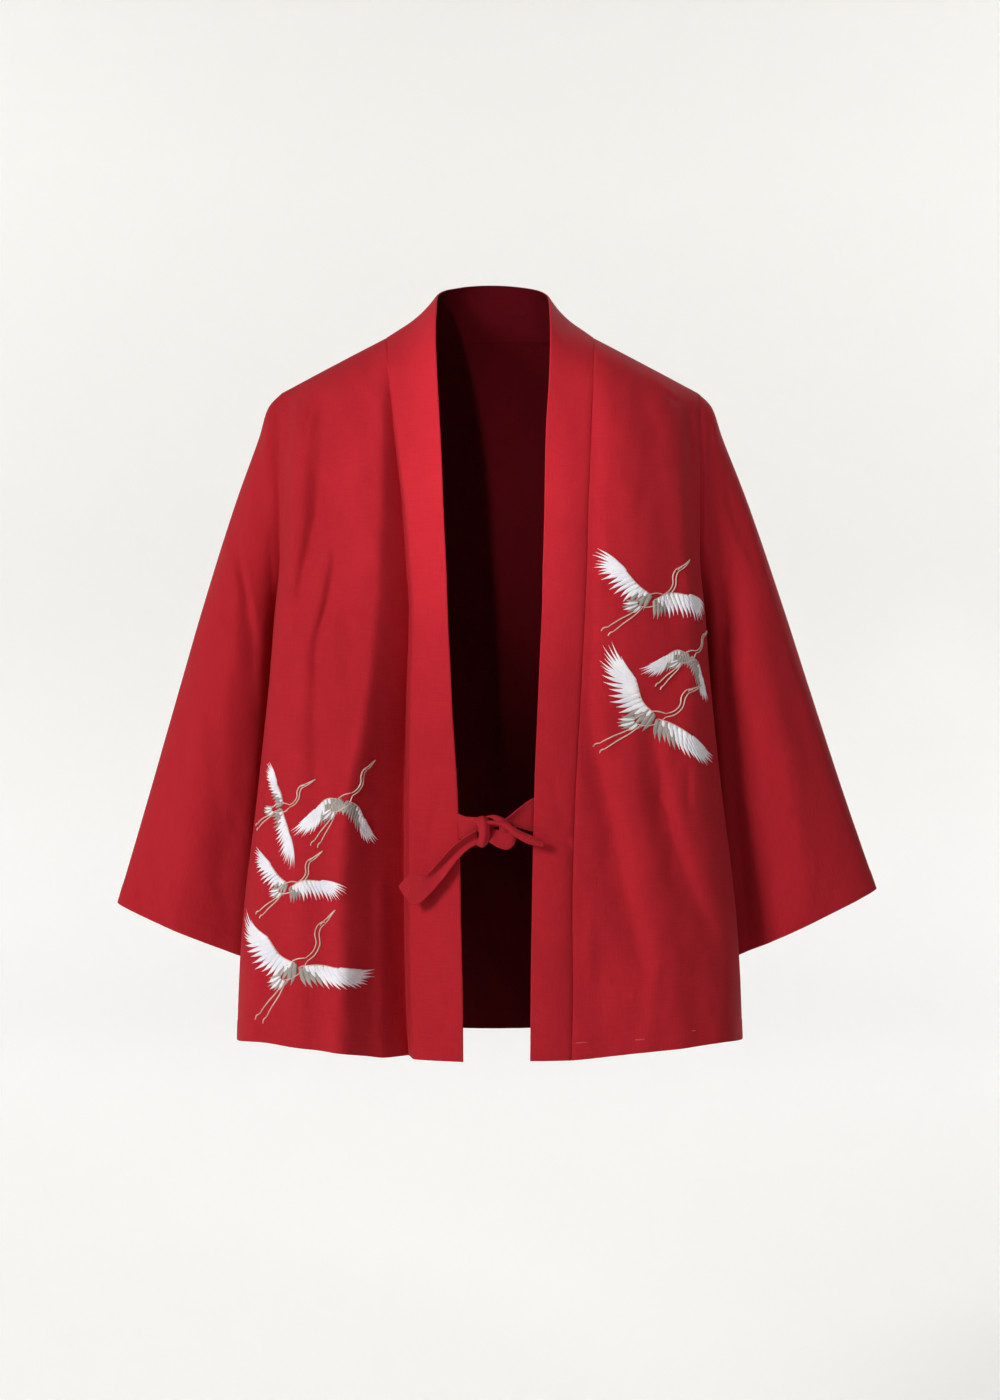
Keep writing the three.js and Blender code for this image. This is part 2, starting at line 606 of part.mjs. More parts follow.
// The knot: a lump of cloth with two rounded turns round it.
function knotGeometry(grow) {
  const geometry = new THREE.SphereGeometry(1, 20, 12);
  geometry.deleteAttribute('uv');
  const places = geometry.attributes.position;
  for (let i = 0; i < places.count; i++) {
    const p = vec(places.getX(i), places.getY(i), places.getZ(i));
    const turns = 1 + 0.1 * Math.cos(3 * Math.atan2(p.z, p.x) + 0.6);
    places.setXYZ(
      i,
      KNOT.x + p.x * turns * (KNOT.halfWidth + grow),
      KNOT.y + p.y * (KNOT.halfDepth + grow),
      KNOT.z + p.z * turns * (KNOT.halfHeight + grow),
    );
  }
  const merged = new Map();
  const positions = [];
  const faces = [];
  const index = geometry.index.array;
  for (let i = 0; i < index.length; i += 3) {
    const ids = [0, 1, 2].map((k) => {
      const at3 = [places.getX(index[i + k]), places.getY(index[i + k]), places.getZ(index[i + k])];
      const key = at3.map((value) => value.toFixed(3)).join(' ');
      if (!merged.has(key)) {
        merged.set(key, positions.length / 3);
        positions.push(...at3);
      }
      return merged.get(key);
    });
    if (new Set(ids).size === 3) {
      faces.push(...ids);
    }
  }
  return closedGeometry(positions, faces);
}

const wasm = await Module();
wasm.setup();

function toSolid(geometry) {
  return new wasm.Manifold(new wasm.Mesh({
    numProp: 3,
    vertProperties: new Float32Array(geometry.attributes.position.array),
    triVerts: new Uint32Array(geometry.index.array),
  }));
}
function toGeometry(solid) {
  const { vertProperties, triVerts } = solid.getMesh();
  return closedGeometry(Array.from(vertProperties), Array.from(triVerts));
}

const UPRIGHT = vec(0, 0, 1);
const BEHIND_BAND = BAND_CLOTH / 2 + 2 * SEAM_GAP + TIE_CLOTH / 2;

// A strap runs from the inside of its band to the knot, and a tail from the knot over the other cloth.
const tieStations = {
  tie_right_strap: [
    { place: insideBand('right', -478, 0.6, BEHIND_BAND), across: UPRIGHT, width: TIE_WIDTH },
    { place: insideBand('right', -478, 0.85, BEHIND_BAND), across: UPRIGHT, width: TIE_WIDTH },
    { place: insideBand('right', -478, 1.1, BEHIND_BAND), across: UPRIGHT, width: TIE_WIDTH - 1 },
    { place: vec(-3, -140, -478), across: vec(0, -0.1, 1), width: 15 },
  ],
  tie_left_strap: [
    { place: insideBand('left', -470, 0.5, BEHIND_BAND), across: UPRIGHT, width: 33 },
    { place: insideBand('left', -470, 0.8, BEHIND_BAND), across: UPRIGHT, width: 32 },
    { place: insideBand('left', -470, 1.1, BEHIND_BAND), across: UPRIGHT, width: 28 },
    { place: vec(-3, -140, -478), across: vec(0, 0.1, 1), width: 10 },
  ],
  tie_right_tail: [
    { place: vec(-6, -144, -480), across: vec(-0.5, -0.5, 0.7), width: 12 },
    { place: vec(-30, -144, -497), across: vec(-0.6, -0.35, 0.7), width: 17 },
    { place: vec(-56, -139, -521), across: vec(-0.7, 0, 0.7), width: 23 },
    { place: vec(-80, -133, -543), across: vec(-0.7, 0.1, 0.7), width: 30 },
  ],
  tie_left_tail: [
    { place: vec(-2, -145, -476), across: vec(0, 0.8, 0.5), width: 9 },
    { place: vec(15, -150, -469), across: vec(0.05, 0.85, 0.45), width: 10 },
    { place: vec(33, -149, -478), across: vec(0.2, 0.85, 0.4), width: 13 },
    { place: vec(51, -145, -489), across: vec(0.3, 0.7, 0.6), width: 15 },
  ],
};

// ---------------------------------------------------------------- assembly

const cloth = (colour) => new THREE.MeshStandardMaterial({ color: colour, roughness: 0.85, metalness: 0 });
const RED = 0xb3202c;
const DEEP_RED = 0x9c1c28;

const jacket = new THREE.Group();
function add(name, geometry, colour) {
  const mesh = new THREE.Mesh(geometry, cloth(colour));
  mesh.name = name;
  jacket.add(mesh);
}

add('back', wallGeometry(back, CLOTH), RED);
for (const name of Object.keys(sides)) {
  add(`front_${name}`, wallGeometry(fronts[name], CLOTH), RED);
  add(`sleeve_${name}`, wallGeometry(sleeves[name], CLOTH), RED);
}
add('collar_band', wallGeometry(band, BAND_CLOTH), RED);

const knotRoom = toSolid(knotGeometry(SEAM_GAP));
add('tie_knot', knotGeometry(0), DEEP_RED);
for (const [name, stations] of Object.entries(tieStations)) {
  add(name, toGeometry(toSolid(ribbon(stations, 12, TIE_CLOTH)).subtract(knotRoom)), DEEP_RED);
}

export default jacket;
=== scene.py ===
# A crimson kimono jacket of plain woven cotton, filled out as it hangs on a wearer, with nobody in it: a
# back, two fronts, two wide sleeves, a folded band round the neck and down the fronts, two ties knotted at
# the waist, and flying cranes embroidered on both fronts. +Z up, the front faces -Y, +X is the wearer's
# left. "Right" and "left" are the wearer's.

import math

import bpy
import numpy as np
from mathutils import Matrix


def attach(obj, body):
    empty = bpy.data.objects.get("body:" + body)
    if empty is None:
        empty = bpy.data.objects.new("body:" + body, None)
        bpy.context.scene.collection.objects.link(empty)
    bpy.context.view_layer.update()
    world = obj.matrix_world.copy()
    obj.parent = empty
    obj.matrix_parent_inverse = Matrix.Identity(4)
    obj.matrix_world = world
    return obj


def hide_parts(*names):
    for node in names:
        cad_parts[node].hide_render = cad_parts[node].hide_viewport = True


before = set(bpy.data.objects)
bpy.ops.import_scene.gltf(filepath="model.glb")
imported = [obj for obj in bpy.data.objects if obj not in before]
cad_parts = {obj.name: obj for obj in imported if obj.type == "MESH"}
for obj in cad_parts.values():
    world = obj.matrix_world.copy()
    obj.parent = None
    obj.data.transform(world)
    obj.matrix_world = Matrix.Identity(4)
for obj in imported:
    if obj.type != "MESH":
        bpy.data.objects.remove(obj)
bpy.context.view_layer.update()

MM = 0.001

# ---------------------------------------------------------------- camera
# A level camera three metres in front of the jacket, at the height of its middle.

camera_data = bpy.data.cameras.new("camera")
camera_data.sensor_width = 36.0
camera_data.lens = 77.14
camera_data.clip_end = 60.0
camera = bpy.data.objects.new("camera", camera_data)
bpy.context.scene.collection.objects.link(camera)
camera.location = (0.010, -3.0, -0.357)
camera.rotation_euler = (math.pi / 2, 0.0, 0.0)
bpy.context.scene.camera = camera

# ---------------------------------------------------------------- studio
# A pale round floor that curves up into its wall far behind the jacket. Nearly all of the light on the
# jacket comes from one soft lamp in front on the left. A weak spot fills in the left chest, and a narrow
# beam reaches in below the collar. Two more lamps light only the wall behind, and one the jacket's back.
# The floor behind the jacket glows a little, so that it is as bright as the wall.

FLOOR_Z = -1.3
ROOM_RADIUS = 9.0
SWEEP_RADIUS = 3.0
ROOM_HEIGHT = 8.0


def linear(hex_colour):
    """The linear RGBA of an sRGB hex colour."""
    channels = np.array([int(hex_colour[i : i + 2], 16) for i in (1, 3, 5)]) / 255
    low, high = channels / 12.92, ((channels + 0.055) / 1.055) ** 2.4
    return (*np.where(channels <= 0.04045, low, high).tolist(), 1.0)


def set_sockets(tree, made, values):
    """Fills a node's sockets, each from a number, a colour or another node's socket."""
    for name, value in values.items():
        if isinstance(value, bpy.types.NodeSocket):
            tree.links.new(value, made.inputs[name])
        else:
            made.inputs[name].default_value = value


def node(tree, kind, values=None, **settings):
    """Adds a node. `settings` are its own properties, and `values` fills its sockets."""
    made = tree.nodes.new(kind)
    for name, value in settings.items():
        setattr(made, name, value)
    set_sockets(tree, made, values or {})
    return made


def maths(tree, operation, *values):
    """The result of a sum on sockets and numbers."""
    return node(tree, "ShaderNodeMath", dict(enumerate(values)), operation=operation).outputs[0]


def ramp(tree, value, low, high, to=(0.0, 1.0), kind="LINEAR"):
    """Runs from to[0] to to[1] as a value runs from low to high."""
    limits = {"From Min": low, "From Max": high, "To Min": to[0], "To Max": to[1]}
    made = node(tree, "ShaderNodeMapRange", {"Value": value, **limits}, interpolation_type=kind)
    return made.outputs["Result"]


def two_tone(tree, share, first, second):
    """A colour that goes from one hex colour to another with a share."""
    colours = {"Color1": linear(first), "Color2": linear(second)}
    return node(tree, "ShaderNodeMixRGB", {"Fac": share, **colours}).outputs["Color"]


def noise(tree, place, scale, detail, roughness=0.5):
    values = {"Vector": place, "Scale": scale, "Detail": detail, "Roughness": roughness}
    return node(tree, "ShaderNodeTexNoise", values).outputs["Fac"]


def ribs(tree, place, pitch, direction, distortion, slant=0.0):
    """Even threads side by side, `pitch` mm apart, which lie across a direction of the map turned by
    `slant`."""
    scale = (1 / pitch / MM / 3.1416,) * 3
    laid = node(tree, "ShaderNodeMapping", {"Vector": place, "Rotation": (0.0, 0.0, slant), "Scale": scale})
    values = {"Vector": laid.outputs["Vector"], "Scale": 1.0, "Distortion": distortion, "Detail": 1.0}
    return node(tree, "ShaderNodeTexWave", values, bands_direction=direction).outputs["Fac"]


def relief(tree, height, strength, distance, **more):
    values = {"Height": height, "Strength": strength, "Distance": distance, **more}
    return node(tree, "ShaderNodeBump", values).outputs["Normal"]


def new_material(name):
    """An empty node material: its tree and the Principled BSDF that ends it."""
    material = bpy.data.materials.new(name)
    material.use_nodes = True
    tree = material.node_tree
    return material, tree, tree.nodes["Principled BSDF"]


def mesh_object(name, points, faces, *materials, uv=None, slots=None):
    """An object at the origin from points (n, 3) in metres and faces (m, 3 or 4), with smooth shading. `uv`
    (n, 2) is in metres along the cloth, and `slots` (m,) is each face's place in `materials`."""
    mesh = bpy.data.meshes.new(name)
    mesh.from_pydata(points.tolist(), [], faces.tolist())
    if uv is not None:
        layer = mesh.uv_layers.new(name="cloth")
        corners = np.empty(len(mesh.loops), dtype=np.int32)
        mesh.loops.foreach_get("vertex_index", corners)
        layer.data.foreach_set("uv", uv[corners].astype(np.float32).ravel())
    mesh.polygons.foreach_set("use_smooth", np.ones(len(mesh.polygons), dtype=bool))
    for material in materials:
        mesh.materials.append(material)
    if slots is not None:
        mesh.polygons.foreach_set("material_index", slots.astype(np.int32))
    made = bpy.data.objects.new(name, mesh)
    bpy.context.scene.collection.objects.link(made)
    return made


def grid_faces(rows, columns, closed=False, start=0):
    """Quads of a grid stored row by row from vertex `start`. A closed grid joins its last column to its
    first."""
    r, c = np.meshgrid(np.arange(rows - 1), np.arange(columns if closed else columns - 1), indexing="ij")
    across = (c + 1) % columns
    corners = [r * columns + c, r * columns + across, (r + 1) * columns + across, (r + 1) * columns + c]
    return start + np.stack(corners, axis=-1).reshape(-1, 4)


def studio_floor():
    """Radius and height along the profile: flat to the sweep, a quarter circle, then straight up; turned
    once about the vertical axis."""
    turn = np.linspace(0, math.pi / 2, 24)
    flat = np.stack([np.linspace(0.0002, ROOM_RADIUS - SWEEP_RADIUS, 12), np.zeros(12)], axis=1)
    sweep = np.stack(
        [ROOM_RADIUS - SWEEP_RADIUS * (1 - np.sin(turn)), SWEEP_RADIUS * (1 - np.cos(turn))], axis=1
    )
    wall = np.array([[ROOM_RADIUS, ROOM_HEIGHT]])
    profile = np.concatenate([flat, sweep[1:], wall])
    angle = np.linspace(0, 2 * math.pi, 96, endpoint=False)
    radius, height = profile[:, :1], profile[:, 1:]
    points = np.stack(
        [radius * np.cos(angle), radius * np.sin(angle), FLOOR_Z + height + 0 * angle], axis=-1
    )
    return points.reshape(-1, 3), grid_faces(len(profile), len(angle), closed=True)


paper, tree, shader = new_material("studio paper, matt off-white")
place = node(tree, "ShaderNodeTexCoord").outputs["Object"]
axes = node(tree, "ShaderNodeSeparateXYZ", {"Vector": place}).outputs
rise = ramp(tree, axes["Z"], FLOOR_Z, FLOOR_Z + 1.6, kind="SMOOTHSTEP")
behind = ramp(tree, axes["Y"], -0.3, 0.9, kind="SMOOTHSTEP")
far = node(tree, "ShaderNodeVectorMath", {"Vector": place}, operation="LENGTH").outputs["Value"]
glow = ramp(tree, far, 1.5, 6.8, to=(0.44, 0.03), kind="SMOOTHSTEP")
set_sockets(tree, shader, {
    "Base Color": two_tone(tree, rise, "#fdfdfc", "#eeeeeb"),
    "Emission Strength": maths(tree, "MULTIPLY", glow, behind),
    "Emission Color": linear("#fdfdfb"),
    "Roughness": 0.95,
    "Specular IOR Level": 0.1,
})
floor = mesh_object("studio_floor", *studio_floor(), paper)

world = bpy.data.worlds.new("studio room")
bpy.context.scene.world = world
world.use_nodes = True
sky = world.node_tree.nodes["Background"]
set_sockets(world.node_tree, sky, {"Color": linear("#fafafa"), "Strength": 0.06})


def lamp(name, place, target, power, colour, size, cone=None):
    """A lamp that faces a target: a square area, or a round spot where a cone is given, in degrees."""
    data = bpy.data.lights.new(name, "SPOT" if cone else "AREA")
    data.energy = power
    data.color = linear(colour)[:3]
    if cone:
        data.shadow_soft_size = size
        data.spot_blend = 1.0
        data.spot_size = math.radians(cone)
    else:
        data.size = size
    made = bpy.data.objects.new(name, data)
    made.location = place
    aim = np.array(target) - np.array(place)
    pitch = math.atan2(math.hypot(aim[0], aim[1]), -aim[2])
    made.rotation_euler = (pitch, 0.0, math.atan2(aim[1], aim[0]) - math.pi / 2)
    bpy.context.scene.collection.objects.link(made)
    return made


lamp("key", (-4.4, -5.2, 2.1), (0.0, 0.0, -0.35), 338, "#fffcf8", 1.7)
for side in (-1, 1):
    lamp("backdrop", (side * 3.8, 4.6, 2.6), (side * 1.6, 9.0, -0.2), 112, "#faf9fb", 3.0)
lamp("rear", (1.8, 3.4, 1.6), (0.0, 0.2, -0.36), 400, "#fbfbff", 0.45, cone=20)
lamp("fill", (0.7, -2.6, 1.5), (0.19, -0.05, -0.12), 65, "#fffcf8", 0.3, cone=13)
beam = lamp("beam", (-0.62, -3.2, 0.2), (0.035, 0.128, -0.12), 390, "#ffffff", 0.10, cone=3.8)
beam.scale = (1.0, 2.8, 1.0)
bpy.context.scene.view_settings.view_transform = "Standard"

# ---------------------------------------------------------------- back
# One width of crimson cotton from side seam to side seam, curved in at the neck and the armholes, and
# rounded over the shoulders to its seams. It hangs in broad, soft folds below the shoulder blades.

CLOTH = 1.1  # thickness of one layer, in mm
SEAM_GAP = 0.3
HEM = -697.0
UNDERARM = -275.0
CHEST = -163.5
HEM_DEPTH = 19.0  # the hem is turned up twice
STITCH = 9
ARMHOLE = {"x": 206.0, "half_depth": 46.0, "underarm_y": 5.0}
NECK_POINT = np.array([103.0, 0.0, 4.0])
SHOULDER_TIP = np.array([208.0, 0.0, -51.0])
NAPE = np.array([0.0, 75.0, 9.0])

# Half of the body's plan at each height: the front beside the band, the turn from front to side, the
# fullness just before the seam, the side seam, and the same on the back.
BODY_LEVELS = np.array([-700, -620, -550, -450, -350, -275, -220, -163.5])
BODY = {
    "frontY": [-139, -137, -135, -131, -127, -122, -118, -112],
    "turnX": [229, 225, 219, 209, 199, 193, 188, 185],
    "turnY": [-104, -104, -103, -102, -100, -96, -92, -88],
    "lobeX": [248, 244.5, 239, 227, 216.5, 210.5, 205, 202.5],
    "lobeY": [-45, -52, -56, -60, -62, -62, -60, -60],
    "sideX": [238, 228, 220, 211, 203, 206, 206, 206],
    "sideY": [2, 6, 8, 8, 8, 5, 5, 5],
    "backTurnY": [103, 102, 102, 101, 100, 98, 96, 92],
    "backY": [129, 129, 129, 128, 129, 131, 131, 128],
}


def mix(a, b, share):
    """From a at share 0 to b at share 1."""
    return a + (b - a) * share


def unit(vectors):
    return vectors / np.maximum(np.linalg.norm(vectors, axis=-1, keepdims=True), 1e-9)


def ease(value, low, high):
    """0 under low, 1 over high, and a cubic 3u^2 - 2u^3 between."""
    u = np.clip((value - low) / (high - low), 0, 1)
    return u * u * (3 - 2 * u)


def hermite(u, start, start_slope, end, end_slope):
    """The cubic from start to end as u runs from 0 to 1."""
    return (
        (2 * u**3 - 3 * u**2 + 1) * start + (u**3 - 2 * u**2 + u) * start_slope
        + (3 * u**2 - 2 * u**3) * end + (u**3 - u**2) * end_slope
    )


def along(levels, values, z):
    """A cubic through the table's values, whose slope at a level is that of the chord between the levels
    on either side. Constant beyond the ends."""
    levels, values = np.asarray(levels, float), np.asarray(values, float)
    last = len(levels) - 1
    c = np.clip(np.searchsorted(levels, z), 1, last)
    b, a, d = c - 1, np.maximum(c - 2, 0), np.minimum(c + 1, last)
    rise = levels[c] - levels[b]
    u = np.clip((z - levels[b]) / rise, 0, 1)
    start = (values[c] - values[a]) / (levels[c] - levels[a]) * rise
    end = (values[d] - values[b]) / (levels[d] - levels[b]) * rise
    return hermite(u, values[b], start, values[c], end)


def body(name, z):
    return along(BODY_LEVELS, BODY[name], z)


def smooth_curve(knots, shares, fine=24):
    """Points at the given shares of the length of a smooth curve through knots (curves, knots, axes). Its
    slope at a knot weighs the chords on either side by the square roots of their lengths."""
    ahead, behind = 2 * knots[:, :1] - knots[:, 1:2], 2 * knots[:, -1:] - knots[:, -2:-1]
    p = np.concatenate([ahead, knots, behind], axis=1)
    chord = np.diff(p, axis=1)
    step = np.sqrt(np.linalg.norm(chord, axis=2, keepdims=True))
    pace = chord / step
    leap = (p[:, 2:] - p[:, :-2]) / (step[:, 1:] + step[:, :-1])
    slope = pace[:, :-1] - leap + pace[:, 1:]
    a, b = knots[:, :-1, None], knots[:, 1:, None]
    middle = step[:, 1:-1, None]
    sa, sb = slope[:, :-1, None] * middle, slope[:, 1:, None] * middle
    u = np.linspace(0, 1, fine, endpoint=False)[None, None, :, None]
    dense = hermite(u, a, sa, b, sb).reshape(len(knots), -1, knots.shape[2])
    dense = np.concatenate([dense, knots[:, -1:]], axis=1)
    run = np.cumsum(np.linalg.norm(np.diff(dense, axis=1), axis=2), axis=1)
    run = np.concatenate([np.zeros((len(knots), 1)), run], axis=1)
    run = run / run[:, -1:]
    return np.stack([
        np.stack([np.interp(shares, run[i], dense[i, :, k]) for k in range(knots.shape[2])], axis=1)
        for i in range(len(knots))
    ])


def armhole_edge(face, z):
    """The body's edge at the armhole: half an ellipse of the armhole's depth, from the underarm up to the
    chest. `face` is -1 in front and 1 behind."""
    q = np.clip((z - CHEST) / (CHEST - UNDERARM), -1, 0)
    y = face * ARMHOLE["half_depth"] * np.sqrt(1 - q * q) + ARMHOLE["underarm_y"] * q * q
    return np.stack([ARMHOLE["x"] + 0 * z, y], axis=-1)


def side_edge(face, z):
    seam = np.stack([body("sideX", z), body("sideY", z)], axis=-1)
    return np.where((z > UNDERARM)[:, None], armhole_edge(face, z), seam)


def drawn_in(lobe, seam):
    """Behind its fullness the cloth draws in to the seam."""
    return mix(lobe, seam, np.array([0.85, 0.4]))


def back_plan(z):
    """Knots of the back's plan at heights z, from the right side seam to the left one."""
    turn = np.stack([body("turnX", z) - 3, body("backTurnY", z)], axis=-1)
    lobe = np.stack([body("lobeX", z) - 3, -body("lobeY", z)], axis=-1)
    middle = np.stack([0 * z, body("backY", z)], axis=-1)
    flat = np.stack([turn[:, 0] * 0.55, mix(middle[:, 1], turn[:, 1], 0.12)], axis=-1)
    seam = side_edge(1, z)
    half = np.stack([flat, turn, lobe, drawn_in(lobe, seam), seam], axis=1)
    return np.concatenate([half[:, ::-1] * [-1, 1], middle[:, None], half], axis=1)


def body_panel(plan, shares, stations, hem, top, roundness):
    """A body panel on a grid. `shares` run across it and `stations` up it: 0 to 1 from the hem to the
    underarm, to 2 at the chest, where the armhole is deepest, and to 3 at the top line `top`. Above the
    chest a point leans over to the top line as a quarter ellipse, or less by `roundness`."""
    low, high = stations[stations <= 1], stations[stations > 2]
    mid = stations[(stations > 1) & (stations <= 2)]
    z_low = mix(HEM, UNDERARM, low)
    z_mid = CHEST - (CHEST - UNDERARM) * np.cos(math.pi / 2 * (mid - 1))
    levels = np.concatenate([z_low, z_mid, [CHEST]])
    flat = smooth_curve(plan(levels), shares)
    droop = np.concatenate([(1 - low) ** 2, 0 * mid, [0.0]])
    z = levels[:, None] + droop[:, None] * (hem(shares) - HEM)[None, :]
    below = np.concatenate([flat, z[..., None]], axis=2)
    base, below = below[-1], below[:-1]
    climb = np.sin(math.pi / 2 * (high - 2))[:, None]
    inward = np.clip(1 - climb**2, 0, 1) ** roundness[None, :]
    x = mix(base[:, 0], top[:, 0], climb)
    y = mix(top[:, 1], base[:, 1], inward)
    above = np.stack([x, y, mix(CHEST, top[:, 2], climb)], axis=2)
    return np.concatenate([below, above])


def folds_at(folds, x, z):
    """How far folds press the cloth in at places (x, z) seen from the front, in mm. A fold is a list of
    knots (x, z, half width, depth) from its top down, and a lean: its side away from the lean is steeper.
    Its profile is exp(-(distance / half width)^2), and it fades out past its ends over 0.15 of its
    length."""
    depth = np.zeros(np.broadcast(x, z).shape)
    for lean, *knots in folds:
        table = np.array(knots[::-1], float)
        reach = 0.15 * (table[-1, 1] - table[0, 1]) + 6
        past = np.maximum(np.maximum(table[0, 1] - z, z - table[-1, 1]), 0)
        level = np.clip(z, table[0, 1], table[-1, 1])
        middle, width, deep = (along(table[:, 1], table[:, i], level) for i in (0, 2, 3))
        across = (x - middle) / (width * (1 + lean * np.sign(x - middle)))
        depth += deep * np.exp(-across * across) * (1 - ease(past, 0, reach))
    return depth


# Length and height of each ripple, in mm.
RIPPLES = [(170, 0.9), (120, 0.7), (90, 0.6), (70, 0.5), (52, 0.35), (40, 0.28), (31, 0.2), (24, 0.13),
           (19, 0.1), (15, 0.08)]
TURN = 6.283  # a full turn, for waves


def crumple(x, z, seed):
    """Slight unevenness of hung cloth, in mm: long, slanting ripples of random place and direction."""
    random = np.random.default_rng(seed)
    total = 0 * x
    for length, height in RIPPLES:
        turn, shift, bend = (random.uniform(*ends) for ends in ((-0.7, 0.7), (0, 6.3), (0, 6.3)))
        run = (x * math.cos(turn) + z * math.sin(turn)) / length
        cross = (z * math.cos(turn) - x * math.sin(turn)) / (length * random.uniform(2.2, 4.5))
        total = total + height * np.sin(TURN * run + shift + 1.3 * np.sin(TURN * cross + bend))
    return total


def grid_normals(points, closed):
    """Unit normals of a grid from central differences along its two directions."""
    if closed:
        around = np.concatenate([points[:, -1:], points, points[:, :1]], axis=1)
        along_row = around[:, 2:] - around[:, :-2]
    else:
        along_row = np.gradient(points, axis=1)
    return unit(np.cross(along_row, np.gradient(points, axis=0)))


def run_of(points, axis):
    """Distance in mm along rows or columns of a grid."""
    step = np.linalg.norm(np.diff(points, axis=axis), axis=2)
    pad = [(1, 0), (0, 0)] if axis == 0 else [(0, 0), (1, 0)]
    return np.pad(np.cumsum(step, axis=axis), pad)


def rounded_rim(distance, radius):
    """Share of the full thickness at a distance from a rim: a quarter circle, so that the edge is soft."""
    u = np.clip(distance / radius, 0, 1)
    return 0.25 + 0.75 * np.sqrt(1 - (1 - u) ** 2)


def wall_of_cloth(name, points, outward, thickness, materials, closed=False, uv=None):
    """A wall of cloth: an outer and an inner skin half of the thickness to either side of a grid of points
    in mm, joined round the rims. `outward` is a direction, or one for each point, that most normals agree
    with. `materials` are those of the face and the reverse. `uv` is taken as the length along rows and
    columns where it isn't given."""
    normal = grid_normals(points, closed)
    away = np.sign((normal * outward).sum(axis=2).mean())
    normal = normal * away
    half = (thickness / 2)[..., None] if np.ndim(thickness) else thickness / 2
    rows, columns = points.shape[:2]
    skins = np.concatenate([(points + way * normal * half).reshape(-1, 3) for way in (1, -1)])
    outer = grid_faces(rows, columns, closed)
    inner = grid_faces(rows, columns, closed, start=rows * columns)[:, ::-1]
    if away < 0:
        outer, inner = outer[:, ::-1], inner[:, ::-1]
    faces = [outer, inner]
    c = np.arange(columns if closed else columns - 1)
    d = (c + 1) % columns
    shift = rows * columns
    last = (rows - 1) * columns
    rims = [np.stack([d, c, c + shift, d + shift], axis=1),
            np.stack([c + last, d + last, d + last + shift, c + last + shift], axis=1)]
    if not closed:
        r = np.arange(rows - 1) * columns
        end = r + columns - 1
        rims += [np.stack([r, r + columns, r + columns + shift, r + shift], axis=1),
                 np.stack([end + columns, end, end + shift, end + columns + shift], axis=1)]
    for rim in rims:
        faces.append(rim if away > 0 else rim[:, ::-1])
    if uv is None:
        wide, tall = run_of(points, 1), run_of(points, 0)
        uv = np.stack([wide - wide[:, -1:] / 2, tall], axis=2)
    flat_uv = np.tile(uv.reshape(-1, 2) * MM, (2, 1))
    slots = np.concatenate([np.full(len(part), i == 1) for i, part in enumerate(faces)])
    return mesh_object(name, skins * MM, np.concatenate(faces), *materials, uv=flat_uv, slots=slots)


def with_rims(count, length, fine=(0.35, 1.1)):
    """Even shares from 0 to 1, with extra ones close to both ends, at `fine` mm of a length in mm."""
    near = np.array(fine) / length
    inner = np.linspace(0, 1, count)
    inner = inner[(inner > near[-1] * 1.5) & (inner < 1 - near[-1] * 1.5)]
    return np.concatenate([[0], near, inner, 1 - near[::-1], [1]])


def crimson_cotton(name, colour, weave_mm=0.55, slub=1.0, nap=0.08, gloss=0.16):
    """Plain weave cotton with a linen look: warp and weft threads and thicker slubs in both directions as
    relief, faint lighter and darker threads, and a soft nap that catches the light at grazing angles.
    Scales are in metres along the cloth, from the piece's own map."""
    material, tree, shader = new_material(name)
    place = node(tree, "ShaderNodeUVMap", uv_map="cloth").outputs["UV"]

    def threads(*stretch):
        """One set of threads: long thin noise, stretched along the thread."""
        laid = node(tree, "ShaderNodeMapping", {"Vector": place, "Scale": (*stretch, 1.0)})
        return noise(tree, laid.outputs["Vector"], 1.0, 2.0, 0.6)

    fine, long = 1 / 0.0011, 1 / 0.022
    slubs = maths(tree, "ADD", threads(fine, long), threads(long, fine))
    crossing = maths(tree, "ADD", *(ribs(tree, place, weave_mm, way, 0.4) for way in "XY"))
    shade = maths(tree, "MULTIPLY_ADD", slubs, 0.5, 0.0)
    shade = maths(tree, "MULTIPLY_ADD", noise(tree, place, 14.0, 5.0, 0.6), 0.45, shade)
    coarse = relief(tree, slubs, 0.35 * slub, 0.0006)
    set_sockets(tree, shader, {
        "Base Color": two_tone(tree, ramp(tree, shade, 0.5, 0.95), *colour),
        "Normal": relief(tree, crossing, 0.25, 0.00025, Normal=coarse),
        "Roughness": 0.86,
        "Specular IOR Level": gloss,
        "Sheen Weight": nap,
        "Sheen Roughness": 0.55,
        "Sheen Tint": linear("#e86a70"),
    })
    return material


# The face has the cloth's own colour. The reverse's far darker colour is painted shade: it keeps the inside
# of the jacket dark where it shows through the opening and below the collar.
cotton = (
    crimson_cotton("crimson cotton, plain woven", ("#a31825", "#b6202c")),
    crimson_cotton("crimson cotton, reverse painted dark as shade", ("#40050b", "#4a060e"), nap=0.01, gloss=0.03),
)

